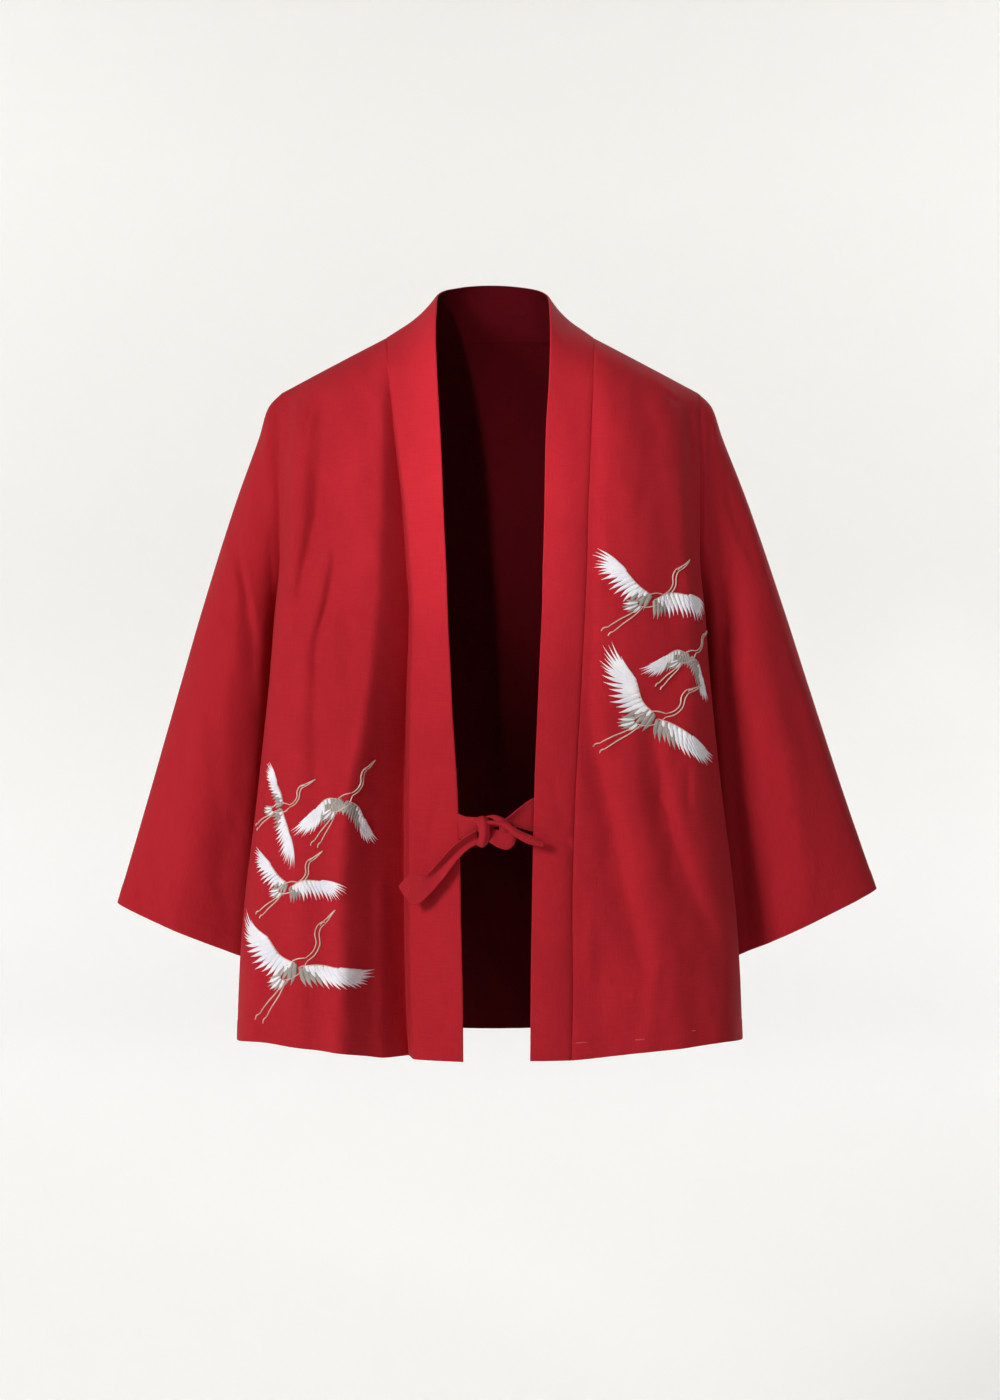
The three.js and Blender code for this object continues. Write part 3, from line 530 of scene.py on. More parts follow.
BACK_NECK_SHARE = 0.45
BACK_REACH = 300.0  # turns shares of the way out into mm from a side seam
BACK_FOLDS = [
    [0.1, (-78, -240, 22, 4), (-92, -450, 27, 8), (-104, -690, 31, 9)],
    [-0.1, (88, -240, 22, 5), (84, -420, 26, 7), (98, -690, 33, 10)],
    [0.0, (-4, -330, 30, 3), (6, -690, 36, 6)],
    [0.2, (-166, -120, 15, 6), (-158, -330, 19, 5), (-168, -560, 21, 4)],
    [-0.2, (170, -130, 15, 6), (160, -300, 18, 4), (172, -600, 21, 5)],
    [0.3, (-44, -70, 12, 1.8), (-60, -170, 16, 2.4), (-92, -250, 18, 1.2)],
    [-0.3, (52, -60, 11, 1.6), (74, -160, 15, 2.6), (104, -236, 17, 1.0)],
    [0.2, (-190, -250, 8, 1.8), (-176, -300, 10, 2.2), (-150, -372, 11, 1.0)],
    [-0.2, (192, -262, 8, 2.0), (180, -318, 10, 2.0), (158, -380, 12, 0.8)],
    [0.3, (-128, -470, 12, -2.2), (-138, -580, 15, -3.0), (-142, -694, 18, -3.4)],
    [-0.3, (128, -500, 12, -2.0), (140, -610, 15, -3.2), (146, -694, 18, -3.4)],
    [0.2, (38, -520, 12, -1.8), (48, -690, 15, -3.0)],
    [-0.2, (-46, -560, 11, -1.6), (-52, -690, 14, -2.6)],
    [0.0, (-120, -392, 5, 0.9), (-108, -404, 5, 1.1)],
    [0.0, (64, -338, 5, 0.8), (78, -350, 5, 1.0)],
]


def hem_relief(rise, seed, x):
    """The turned hem: the cloth is thicker below its stitching, which draws it in by 0.35 mm every stitch.
    `rise` is the height above the edge in mm. Returns the extra thickness and the dent."""
    below = 1 - ease(rise, HEM_DEPTH - 0.8, HEM_DEPTH + 0.8)
    stitches = 0.35 + 0.12 * np.sin(TURN * x / STITCH + seed)
    dent = np.exp(-(((rise - HEM_DEPTH) / 1.6) ** 2)) * stitches
    return 0.7 * below, dent


def hemmed(points, face, seed, to_edge):
    """Turns up a panel's hem: its stitching dents the face, and the cloth is thicker below. `to_edge` is
    the distance of each column from the panel's sides. Returns the points and the thickness."""
    rise = run_of(points, 0)
    extra, dent = hem_relief(rise, seed, points[..., 0])
    points[..., 1] -= face * dent
    rim = np.minimum(to_edge[None, :], np.minimum(rise, rise[-1] - rise))
    return points, (CLOTH + extra) * rounded_rim(rim, 1.0)


def stations_up(low, middle, high):
    """Stations of a body panel from the hem to the top line, closer together at both ends."""
    foot = with_rims(low, 420.0)  # 420 mm from the hem to the underarm
    head = np.linspace(2, 3, high)
    head = np.concatenate([head[:-1], [2.996, 2.9988, 3]])
    return np.concatenate([foot[foot < 0.9965], np.linspace(1, 2, middle)[:-1], head])


STATIONS = stations_up(140, 36, 56)


def neck_line(turn):
    """The back neck seam: a quarter ellipse from a neck point (turn 0) to the nape (a quarter turn)."""
    return np.stack([
        NECK_POINT[0] * np.cos(turn), NAPE[1] * np.sin(turn), mix(NECK_POINT[2], NAPE[2], np.sin(turn))
    ], axis=-1)


def back_surface():
    """The back as a grid, with its folds pressed in."""
    near_side = 1 - np.array([0.0012, 0.0036])
    thin = np.unique(np.round(np.concatenate([
        np.linspace(0, BACK_NECK_SHARE, 40), np.linspace(BACK_NECK_SHARE, 1, 52), near_side
    ]), 6))
    signed = np.concatenate([-thin[::-1], thin[1:]])
    share = np.abs(signed) / BACK_NECK_SHARE
    side = np.where(signed < 0, -1.0, 1.0)
    mirrored = np.stack([side, 1 + 0 * side, 1 + 0 * side], 1)
    neck = neck_line(math.pi / 2 * (1 - np.clip(share, 0, 1))) * mirrored
    out = np.clip((np.abs(signed) - BACK_NECK_SHARE) / (1 - BACK_NECK_SHARE), 0, 1)[:, None]
    shoulder = mix(NECK_POINT, SHOULDER_TIP, out) * mirrored
    top = np.where((share < 0.999)[:, None], neck, shoulder)
    roundness = np.where(share < 0.999, mix(1.0, 0.5, np.clip(share, 0, 1)), 0.5)

    def hem(shares):
        return mix(-699.0, -683.0, (2 * shares - 1) ** 2)

    points = body_panel(back_plan, (1 + signed) / 2, STATIONS, hem, top, roundness)
    x, z = points[..., 0], points[..., 2]
    from_side = (1 - np.abs(signed)) * BACK_REACH
    rise = run_of(points, 0)
    from_top = rise[-1] - rise
    calm = ease(from_side, 0, 48)[None, :] * ease(from_top, 10, 140)
    press = folds_at(BACK_FOLDS, x, z) * calm
    press = press + crumple(x, z, 11) * ease(from_side, 0, 30)[None, :] * ease(from_top, 0, 60)
    points[..., 1] -= press
    return hemmed(points, 1, 1.0, from_side)


def close_seams(points, side, face):
    """Draws a panel back from its seams by half of the seam's gap: its first column towards `side`, its
    last one the other way, and its top line towards `face`."""
    points[:, 0, 0] += side * SEAM_GAP / 2
    points[:, -1, 0] -= side * SEAM_GAP / 2
    points[-1, :, 1] += face * SEAM_GAP / 2
    return points


def belongs(piece, solid=None):
    """Puts a piece on the jacket's one body, and in the place of its solid if it has one."""
    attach(piece, "root")
    if solid:
        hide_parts(solid)
    return piece


back_points, back_thickness = back_surface()
back_points = close_seams(back_points, 1, 1)
back = wall_of_cloth("back_cloth", back_points, (0, 1, 0), back_thickness, cotton)
belongs(back, "back")

# ---------------------------------------------------------------- fronts
# Two crimson fronts, from the shoulder seam to the hem and from the band's seam to the side seam. The
# right one is tucked in beside the band by one deep fold; the left one is drawn to the knot by slanting
# folds.

OPENING_LEVELS = np.array([-700, -620, -550, -450, -350, -275, -220, -163.5, -100, -50, 0, 45])
OPENING = {
    "seam_right": [73, 76, 77, 77, 76, 74, 77, 82, 90, 96, 102, 104],
    "seam_left": [78, 79, 78.5, 81.5, 87, 91, 93.5, 95, 98, 100, 102.5, 104],
    "edge_right": [25.3, 26, 27.5, 30.5, 36, 39.5, 41.7, 44.5, 47.3, 50.3, 52.8, 53],
    "edge_left": [38.6, 39.3, 40.5, 42.5, 46.5, 50, 51.3, 52.8, 54.3, 57.5, 59.3, 58],
}
SIDES = {"right": -1, "left": 1}
SIDE_REACH, BAND_REACH = 260.0, 230.0  # turn shares of the way across into mm from the side and the band
FRONT_SEEDS = {"right": 5, "left": 8}
SEAM_DIP = 1.5  # how deep a seam draws the cloth in beside it
# The fronts' hems: their heights at shares of the way from the band's seam to the side seam.
HEM_LINE = {
    "across": [0, 0.10, 0.17, 0.25, 0.41, 0.57, 0.82, 1],
    "right": [-702, -702, -698.5, -694.5, -690.3, -687, -690.3, -683],
    "left": [-701, -698.5, -696.3, -694, -690.5, -687.3, -689.3, -683],
}
# The right front's deep fold at each height: where its crest is, how deep its trough is beside the band,
# and how deep the seam itself lies.
PLEAT = {
    "z": [-700, -600, -500, -437, -393, -318, -259, -165, -85, -20],
    "crest": [-138, -138, -137.5, -134, -122, -114, -107, -103, -103, -104],
    "trough": [54, 53, 51, 49, 45, 40, 35, 27, 12, 0],
    "seam": [19, 18, 16.5, 15, 13.5, 12, 10, 7.5, 3.5, 0],
}
FRONT_FOLDS = {
    "right": [
        [0.35, (-112, -330, 9, -1.5), (-132, -430, 10, -3), (-143, -520, 12, -4.5), (-146, -700, 14, -6)],
        [0.0, (-105, -540, 7, -2.2), (-104, -700, 9, -3.4)],
        [0.3, (-163, -80, 19, 10), (-164, -140, 19, 14), (-169, -185, 15, 13), (-180, -232, 9, 8),
         (-186, -268, 8, 2)],
        [0.3, (-151, -230, 6, 3), (-158, -268, 6, 5.5), (-166, -300, 7, 4.5), (-168, -366, 9, 3.4),
         (-166, -420, 11, 2)],
        [-0.3, (-178, -262, 7, 2.5), (-190, -330, 9, 3.6), (-198, -400, 10, 2)],
        [0.2, (-204, -88, 7, 2.5), (-192, -106, 7, 2)],
        [0.0, (-191, -76, 6, -2.6), (-194, -212, 6, -3.0)],
        [0.0, (-176, -74, 3, 1.6), (-181, -92, 3, 2.0)],
        [0.3, (-196, -300, 10, 2.4), (-204, -420, 13, 3.0), (-212, -560, 16, 3.2), (-214, -690, 18, 3.6)],
        [-0.2, (-178, -430, 12, -1.6), (-180, -560, 15, -2.6), (-184, -700, 18, -3.4)],
        [0.0, (-126, -120, 16, 1.2), (-134, -220, 18, 1.6), (-140, -300, 18, 0.6)],
        [0.2, (-104, -380, 7, 1.0), (-112, -430, 8, 1.4), (-108, -480, 8, 0.6)],
    ],
    "left": [
        [-0.2, (100, -80, 12, 5), (98, -215, 11, 5), (97, -300, 10, 3)],
        [-0.3, (95, -345, 12, 6), (99, -396, 12, 8), (113, -455, 13, 8.5), (129, -541, 15, 7),
         (144, -610, 18, 3.5)],
        [-0.3, (158, -400, 11, 5), (169, -466, 13, 8), (191, -534, 15, 7), (220, -597, 16, 3)],
        [0.0, (150, -60, 15, 3), (172, -200, 19, 4), (180, -330, 17, 2)],
        [0.0, (164, -50, 5, 1.6), (182, -62, 5, 1.4)],
        [0.0, (163, -450, 4, 1.8), (175, -468, 4, 2.0)],
        [0.0, (191, -428, 4, 1.6), (191, -454, 4, 1.8)],
        [0.0, (160, -588, 7, -1.6), (152, -672, 9, -2.2)],
        [0.0, (96, -560, 5, -1.2), (96, -622, 5, -1.2)],
        [0.2, (206, -300, 10, 3), (212, -400, 12, 3.5), (222, -520, 14, 3), (226, -600, 14, 2)],
        [-0.2, (138, -420, 14, -2.4), (156, -520, 16, -3.0), (176, -640, 19, -3.6), (180, -700, 20, -3.6)],
        [0.3, (196, -90, 9, 3.2), (196, -170, 9, 3.4), (200, -250, 8, 2.0)],
        [0.0, (110, -640, 12, 1.6), (106, -700, 14, 2.4)],
    ],
}


def front_plan(name):
    """Knots of a front's plan at heights z, from the band's seam to the side seam."""
    sign = SIDES[name]

    def plan(z):
        seam = np.stack([along(OPENING_LEVELS, OPENING["seam_" + name], z), body("frontY", z)], axis=-1)
        turn = np.stack([body("turnX", z), body("turnY", z)], axis=-1)
        lobe = np.stack([body("lobeX", z), body("lobeY", z)], axis=-1)
        side = side_edge(-1, z)
        knots = np.stack([
            seam, mix(seam, turn, np.array([0.52, 0.16])), turn, lobe, drawn_in(lobe, side), side
        ], axis=1)
        return knots * [sign, 1]

    return plan


PLEAT_RISE = 7  # slope of the deep fold's inner side


def pleat_depth(x, z, seam_x):
    """The deep fold's depth: it falls evenly from its crest, which is rounded over 5 mm, then rises
    steeply to the seam. The two meet in a trough rounded by a soft minimum."""
    crest, trough, seam = (along(PLEAT["z"], PLEAT[k], z) for k in ("crest", "trough", "seam"))
    rise_width = (trough - seam) / PLEAT_RISE + 1
    slope = trough / np.maximum(seam_x - rise_width - crest, 5)
    fall = x - crest
    fall = slope * (np.sqrt(fall**2 + 5**2) + fall) / 2
    rise = seam + PLEAT_RISE * (seam_x - x)
    sharp = 0.4
    return np.maximum(-np.logaddexp(-sharp * fall, -sharp * rise) / sharp, 0)


def front_surface(name):
    """A front as a grid, with its folds pressed in."""
    sign = SIDES[name]
    shares = with_rims(104, SIDE_REACH) ** 1.12
    top = mix(NECK_POINT, SHOULDER_TIP, shares[:, None]) * [sign, 1, 1]

    def hem(across):
        return along(HEM_LINE["across"], HEM_LINE[name], across)

    points = body_panel(front_plan(name), shares, STATIONS, hem, top, 0.5 + 0 * shares)
    x, z = points[..., 0], points[..., 2]
    from_side, from_band = (1 - shares) * SIDE_REACH, shares * BAND_REACH
    rise = run_of(points, 0)
    from_top = rise[-1] - rise
    calm = ease(from_side, 0, 42)[None, :] * ease(from_top, 0, 60)
    press = folds_at(FRONT_FOLDS[name], x, z) * calm
    if name == "right":
        press = press + pleat_depth(x, z, x[:, :1]) * ease(from_top, 0, 90)
    inside = ease(from_side, 0, 30) * ease(from_band, -8, 30)
    press = press + crumple(x, z, FRONT_SEEDS[name]) * inside[None, :] * ease(from_top, 0, 60)
    points[..., 1] += press + SEAM_DIP * np.exp(-from_band / 2)[None, :] * ease(from_top, 0, 30)
    return hemmed(points, -1, 2.0, np.minimum(from_side, from_band))


fronts, front_cloth = {}, {}
for name, sign in SIDES.items():
    points, thickness = front_surface(name)
    fronts[name] = points
    drawn = close_seams(points.copy(), sign, -1)
    front = wall_of_cloth(f"front_{name}_cloth", drawn, (0, -1, 0), thickness, cotton)
    front_cloth[name] = belongs(front, "front_" + name)

# ---------------------------------------------------------------- sleeves
# Each sleeve is one piece of the same cotton, folded along its outer edge, seamed under the arm and sewn
# to the armhole. It hangs down and out, and its cuff is a wide open oval with a turned hem.

CUFF_OUTER = np.array([379.0, -553.0])
CUFF_INNER = np.array([235.5, -616.0])
ARM_SWING = 7.0
SLEEVE_RADIUS = 55.0  # turns angles round a sleeve into mm on its map
SLEEVE_SEEDS = {"right": 21, "left": 27}
OUTER_RAIL = np.array([[208, -51], [220.5, -64], [231, -95], [254.5, -157], [287.5, -257], [318, -357],
                       [348.5, -457], CUFF_OUTER])
INNER_RAIL = np.array([[206, -275], [214, -296], [220, -370], [227, -480], CUFF_INNER])
SLEEVE_LEVELS = np.array([0, 0.3, 0.6, 1])
SLEEVE = {"half_depth": [46, 51, 49, 39], "middle_y": [2.5, 4, 3, 0], "crease": [0.5, 0.52, 0.58, 0.66]}
# Folds of each sleeve's front and back face, by the place seen from the front on the wearer's right.
SLEEVE_FOLDS = {
    "right": {
        -1: [
            [0.2, (226, -120, 8, 2.2), (223, -150, 8, 2.6), (224, -185, 8, 1.4)],
            [0.3, (249, -206, 5, 2.2), (241, -250, 5, 5.0), (236, -292, 9, 4.0), (236, -350, 13, 2.0)],
            [-0.3, (258, -258, 8, 2.0), (270, -330, 11, 3.2), (278, -400, 13, 1.6)],
            [0.0, (224, -84, 5, 2.4), (228, -104, 5, 3.4), (232, -112, 4, 1.4)],
            [-0.3, (262, -300, 15, -2.4), (284, -410, 18, -3.6), (306, -560, 22, -3.0)],
            [0.2, (240, -400, 12, 1.4), (252, -470, 15, 2.2), (268, -600, 18, 2.4)],
            [0.0, (300, -380, 14, 1.8), (326, -480, 16, 2.4), (344, -560, 18, 1.4)],
        ],
        1: [
            [0.2, (230, -130, 10, 2.6), (232, -200, 11, 3.0), (240, -270, 12, 1.6)],
            [-0.2, (258, -260, 16, -2.6), (280, -400, 19, -3.4), (300, -580, 22, -3.0)],
            [0.2, (238, -350, 13, 3.4), (252, -460, 15, 3.8), (266, -600, 18, 3.0)],
            [0.0, (300, -360, 14, 1.8), (330, -500, 17, 2.2)],
        ],
    },
    "left": {
        -1: [
            [0.3, (236, -160, 7, 3.0), (250, -196, 8, 3.8), (270, -238, 8, 1.6)],
            [0.2, (232, -246, 7, 2.6), (233, -276, 7, 2.2)],
            [-0.3, (266, -280, 15, -2.2), (290, -400, 18, -3.4), (312, -560, 22, -3.0)],
            [-0.3, (228, -300, 11, 7.0), (238, -430, 13, 10.0), (248, -520, 14, 11.0),
             (257, -610, 15, 11.0)],
            [0.0, (304, -360, 13, 2.0), (332, -470, 16, 2.6), (350, -560, 18, 1.6)],
            [0.5, (216, -60, 13, 5.0), (221, -110, 19, 9.5), (226, -170, 23, 11.5), (231, -236, 20, 9.5),
             (236, -290, 15, 5.0)],
            [0.0, (238, -128, 5, 1.6), (252, -172, 6, 2.2), (262, -214, 6, 1.2)],
        ],
        1: [
            [0.2, (232, -140, 10, 2.8), (236, -210, 11, 2.6), (246, -280, 12, 1.4)],
            [-0.2, (262, -280, 16, -2.6), (284, -420, 19, -3.4), (306, -580, 22, -3.0)],
            [0.2, (236, -340, 13, 3.6), (250, -450, 15, 3.8), (264, -600, 18, 3.0)],
            [0.0, (306, -380, 14, 1.6), (334, -500, 17, 2.2)],
        ],
    },
}


def sleeve_surface(name):
    """A sleeve as a closed grid. A ring of places q from the outer edge (1) down the front to the inner
    edge (-1) and up the back is carried down between two rails; its half depth is that of the table times
    (1 - q^2)^crease, and fuller towards the inner edge in front. Near the top it blends into the
    armhole."""
    sign = SIDES[name]
    share = np.linspace(0, 1, len(OUTER_RAIL)) ** 2
    rail = OUTER_RAIL + (sign * ARM_SWING * share)[:, None]
    t = np.concatenate([[0, 0.0006, 0.002], np.linspace(0, 1, 150)[1:-1], [1 - 0.002, 1 - 0.0006, 1]])
    a, b = smooth_curve(rail[None], t)[0], smooth_curve(INNER_RAIL[None], t)[0]
    angle = np.linspace(0, 2 * math.pi, 116, endpoint=False)
    q = np.cos(angle)
    face = np.where(angle <= math.pi, -1.0, 1.0)
    belly = np.clip(1 - q * q, 0, 1)  # 0 at the two creased edges, 1 between them

    def tube(t, a, b):
        deep = along(SLEEVE_LEVELS, SLEEVE["half_depth"], t)[:, None]
        crease = along(SLEEVE_LEVELS, SLEEVE["crease"], t)[:, None]
        middle = along(SLEEVE_LEVELS, SLEEVE["middle_y"], t)[:, None]
        flat = (a + b)[:, None] / 2 + (a - b)[:, None] * q[None, :, None] / 2
        crease = crease * (1 - 0.35 * ease(-q, 0.1, 1) * (face < 0))[None, :]
        y = face * deep * belly**crease + middle
        return np.stack([flat[..., 0], y, flat[..., 1]], axis=2)

    z = np.where(q > 0, mix(CHEST, SHOULDER_TIP[2], q), CHEST + q * (CHEST - UNDERARM))
    x = ARMHOLE["x"] + (SHOULDER_TIP[0] - ARMHOLE["x"]) * np.clip(q, 0, 1)
    y = face * ARMHOLE["half_depth"] * np.sqrt(belly)
    y = y + np.where(q < 0, ARMHOLE["underarm_y"] * q * q, 0)
    ring = np.stack([x, y, z], axis=1)
    start = tube(np.zeros(1), rail[:1], INNER_RAIL[:1].astype(float))[0]
    points = tube(t, a, b) + (ring - start)[None] * (1 - ease(t, 0, 0.25))[:, None, None]
    x, z = points[..., 0], points[..., 2]
    rise = run_of(points, 0)
    length = rise[-1]
    calm = ease(rise, 0, 16) * belly[None, :] ** 0.5
    front = folds_at(SLEEVE_FOLDS[name][-1], x, z)
    rear = folds_at(SLEEVE_FOLDS[name][1], x, z)
    press = np.where(face[None, :] < 0, front, rear) * calm
    ripple = crumple(x + 400 * (face > 0), z, SLEEVE_SEEDS[name])  # the back has ripples of its own
    press = press + ripple * ease(rise, 0, 25) * belly[None, :]
    press = press + SEAM_DIP * rise / 3 * np.exp(1 - rise / 3) * belly[None, :] ** 0.5
    extra, dent = hem_relief(length - rise, 3.0, run_of(points, 1))
    points[..., 1] -= face[None, :] * (press + dent * belly[None, :])
    points[..., 0] *= sign
    rim = np.minimum(rise, length - rise)
    thickness = (CLOTH + extra) * rounded_rim(rim, 1.0)
    return points, thickness, angle


for name, sign in SIDES.items():
    points, thickness, angle = sleeve_surface(name)
    points[0, :, 0] += sign * SEAM_GAP / 2
    outward = points - points.mean(axis=1, keepdims=True)
    tall = run_of(points, 0)
    uv = np.stack([np.broadcast_to(angle * SLEEVE_RADIUS, tall.shape), tall], axis=2)
    sleeve = wall_of_cloth(f"sleeve_{name}_cloth", points, outward, thickness, cotton, closed=True, uv=uv)
    belongs(sleeve, "sleeve_" + name)

# ---------------------------------------------------------------- collar band
# One long strip folded double: up the right front, round the neck and down the left front. It stands up
# round the neck and turns over to lie flat on the chest.

BAND_TOP_SIDE = (2.0, 45.0)  # y and z of the free edge beside the neck
BAND_TOP_BACK = (62.0, 66.0)  # and at the nape
BAND_BULGE, BAND_HOLLOW = 2.0, 4.0
BAND_CLOTH = 2.3
BAND_WIDTH = 50.0
BAND_FOLDS = [  # puckers where the ties pull
    [0.0, (-49, -455, 4, 1.2), (-55, -478, 5, 2.4), (-64, -512, 6, 1.2)],
    [0.0, (-66, -468, 4, 0.8), (-70, -496, 5, 1.4), (-72, -530, 5, 0.6)],
    [0.0, (54, -484, 12, 1.6), (72, -492, 13, 3.0), (92, -501, 11, 1.2)],
    [0.0, (62, -440, 5, 0.8), (70, -470, 6, 1.2)],
]


def band_edge(name, z):
    """The band's free edge beside a front: it leans back to the neck as a quarter ellipse above the
    chest."""
    x = SIDES[name] * along(OPENING_LEVELS, OPENING["edge_" + name], z)
    foot = body("frontY", np.minimum(z, CHEST)) - 3
    climb = np.clip((z - CHEST) / (BAND_TOP_SIDE[1] - CHEST), 0, 1)
    return np.stack([x, mix(BAND_TOP_SIDE[0], foot, np.sqrt(1 - climb**2)), z], axis=-1)


def band_surface():
    """The band as a grid from its seam to its free edge: straight across between the two lines, then
    rounded out in front and hollowed round the neck by a half sine."""
    seams, edges = [], []
    for name in SIDES:
        seam = fronts[name][:, 0]
        lift = (BAND_TOP_SIDE[1] - NECK_POINT[2]) * ease(seam[:, 2], CHEST, NECK_POINT[2])
        seams.append(seam)
        edges.append(band_edge(name, seam[:, 2] + lift))
    turn = np.linspace(0, math.pi, 90)[1:-1]
    neck = neck_line(np.minimum(turn, math.pi - turn))
    neck[:, 0] = -NECK_POINT[0] * np.cos(turn)
    corner = np.where(turn < math.pi / 2, edges[0][-1, 0], -edges[1][-1, 0])
    rim = np.stack([
        corner * np.cos(turn),
        mix(BAND_TOP_SIDE[0], BAND_TOP_BACK[0], np.sin(turn)),
        mix(BAND_TOP_SIDE[1], BAND_TOP_BACK[1], np.sin(turn)),
    ], axis=1)
    seam = np.concatenate([seams[0], neck, seams[1][::-1]])
    edge = np.concatenate([edges[0], rim, edges[1][::-1]])
    u = with_rims(18, BAND_WIDTH, fine=(0.3, 0.9, 1.8))
    flat = seam[:, None] + (edge - seam)[:, None] * u[None, :, None]
    normal = grid_normals(flat, False)
    outward = np.where(flat[..., 2:] > CHEST, flat * [1, 1.5, 0] + [0, 0, 60], [0, -1, 0])
    normal = normal * np.sign((normal * outward).sum(axis=2, keepdims=True))
    roll = mix(BAND_BULGE, -BAND_HOLLOW, ease(seam[:, 2], CHEST, NECK_POINT[2]))
    down = np.concatenate([[0], np.cumsum(np.linalg.norm(np.diff(seam, axis=0), axis=1))])
    wave = crumple(flat[..., 0] * 0.6 + 900, down[:, None] * 0.8 + 0 * flat[..., 0], 33) * 0.5
    raised = SEAM_DIP * (1 - np.exp(-u * BAND_WIDTH / 2)) * (1 - u)  # beside the seam, below the neck
    full = (1 - ease(seam[:, 2], -70, -10))[:, None] * raised[None, :]
    bulge = roll[:, None] * np.sin(math.pi * u)[None, :] + wave * ease(u, 0, 0.3)[None, :] + full
    points = flat + normal * bulge[..., None]
    points[..., 1] += folds_at(BAND_FOLDS, points[..., 0], points[..., 2]) * ease(u, 0, 0.12)[None, :]
    ends = np.minimum(down, down[-1] - down)
    rim_distance = np.minimum(np.minimum(u, 1 - u)[None, :] * BAND_WIDTH, ends[:, None])
    stitched = np.exp(-(((u[None, :] * BAND_WIDTH - 2.0) / 1.2) ** 2))
    thickness = (BAND_CLOTH - 0.5 * stitched) * rounded_rim(rim_distance, 1.4)
    return points, thickness, outward


band_points, band_thickness, band_outward = band_surface()
band = wall_of_cloth("band_cloth", band_points, band_outward, band_thickness, cotton)
belongs(band, "collar_band")

# ---------------------------------------------------------------- ties
# Two flat ties of the same cotton folded double, one sewn inside each band, crossed once and knotted at the
# waist. One tail hangs down over the right band, folded along its length and opening out at its end; the
# other is short and lies over to the left.

TIE_CLOTH = 1.7
TIES = {
    # Each tie is laid between rails across its width, from the band or the knot outwards, in mm.
    "tie_right_strap": [
        [(-50, -128, -465), (-38, -130, -465), (-30, -135, -465.5), (-23, -141, -468), (-12, -146, -468.5),
         (0, -146, -470)],
        [(-50, -127, -478), (-38, -129, -478), (-30, -134, -478), (-23, -139.5, -478), (-12, -144, -477),
         (0, -145, -476)],
        [(-50, -128, -491), (-38, -130, -491), (-30, -134, -490.5), (-22, -138, -487), (-11, -141, -483),
         (0, -143, -480)],
    ],
    "tie_left_strap": [
        [(60, -130, -450), (49, -130, -450), (41, -134, -451), (28, -140, -460), (15, -145, -470),
         (0, -146, -474)],
        [(60, -129, -467), (49, -129, -467), (41, -133, -467), (28, -137, -469), (15, -143, -474),
         (0, -145, -477)],
        [(60, -130, -484), (49, -130, -484), (42, -133, -483), (29, -138, -479), (15, -144, -477),
         (0, -144, -479)],
    ],
    "tie_right_tail": [
        [(-12, -152, -480), (-22, -152, -486), (-34, -151, -495), (-49, -149, -511), (-63, -145, -524),
         (-74, -142, -522), (-87, -139, -534.5)],
        [(-11, -145, -488), (-24, -144, -494), (-40, -143, -508), (-52, -142, -522), (-63, -143, -531),
         (-75, -141.5, -535), (-84, -139, -540)],
        [(-9, -146, -493), (-20, -146, -499), (-31, -147, -510), (-43, -146, -526), (-55, -144, -540),
         (-67, -142, -551), (-75, -140, -552)],
    ],
    "tie_left_tail": [
        [(-3, -152, -471.5), (8, -153, -472), (16, -154, -473), (29, -154, -481), (41, -153, -486),
         (51, -150, -489.5)],
        [(-3, -154, -473.5), (8, -155, -473.8), (15, -156, -475.5), (27, -157, -484), (39, -156, -489.5),
         (51.5, -152, -493)],
        [(-3, -151, -475.5), (8, -152, -475.8), (14, -154, -478), (25, -155, -487), (37, -154, -493.5),
         (51.5, -151, -497)],
    ],
}
KNOT_TURNS = [
    # The turns of the knot, as strips round it: rails as above.
    [
        [(-15, -139, -474), (-14, -147, -471), (-11, -154, -477), (-10, -155, -486), (-12, -149, -494),
         (-13, -140, -493)],
        [(-8, -138, -471), (-7, -149, -468), (-5, -157, -475), (-5, -158, -486), (-7, -151, -496),
         (-8, -140, -495)],
        [(0, -139, -473), (-1, -147, -470), (0, -154, -477), (0, -154, -486), (-2, -148, -493),
         (-3, -140, -493)],
    ],
    [
        [(-4, -141, -470), (-3, -149, -468), (3, -152, -470), (9, -150, -477), (8, -146, -484),
         (2, -141, -488)],
        [(4, -141, -468), (5, -150, -467), (11, -153, -471), (16, -151, -478), (14, -147, -485),
         (8, -141, -489)],
        [(12, -140, -470), (12, -147, -469), (17, -150, -472), (21, -149, -478), (20, -146, -483),
         (14, -141, -486)],
    ],
    [
        [(-4, -145, -477), (3, -146, -479), (10, -147, -481), (16, -147, -481), (21, -146, -478),
         (23, -143, -474)],
        [(-4, -149, -484), (3, -151, -487), (10, -152, -489.5), (17, -152, -489.5), (22, -150, -486),
         (25, -145, -480)],
        [(-3, -151, -490), (3, -154, -494), (10, -155.5, -497.5), (17, -155, -499), (23, -152, -495),
         (26, -146, -486)],
    ],
]


def strip_between(rails, long, wide):
    """A strip of cloth: smooth curves along the rails, and across them smooth curves through the rails."""
    along_rails = smooth_curve(np.array(rails, float), with_rims(long, 70.0, fine=(0.3, 0.9)))
    return smooth_curve(np.swapaxes(along_rails, 0, 1), with_rims(wide, 20.0, fine=(0.3, 0.9, 2.2)))


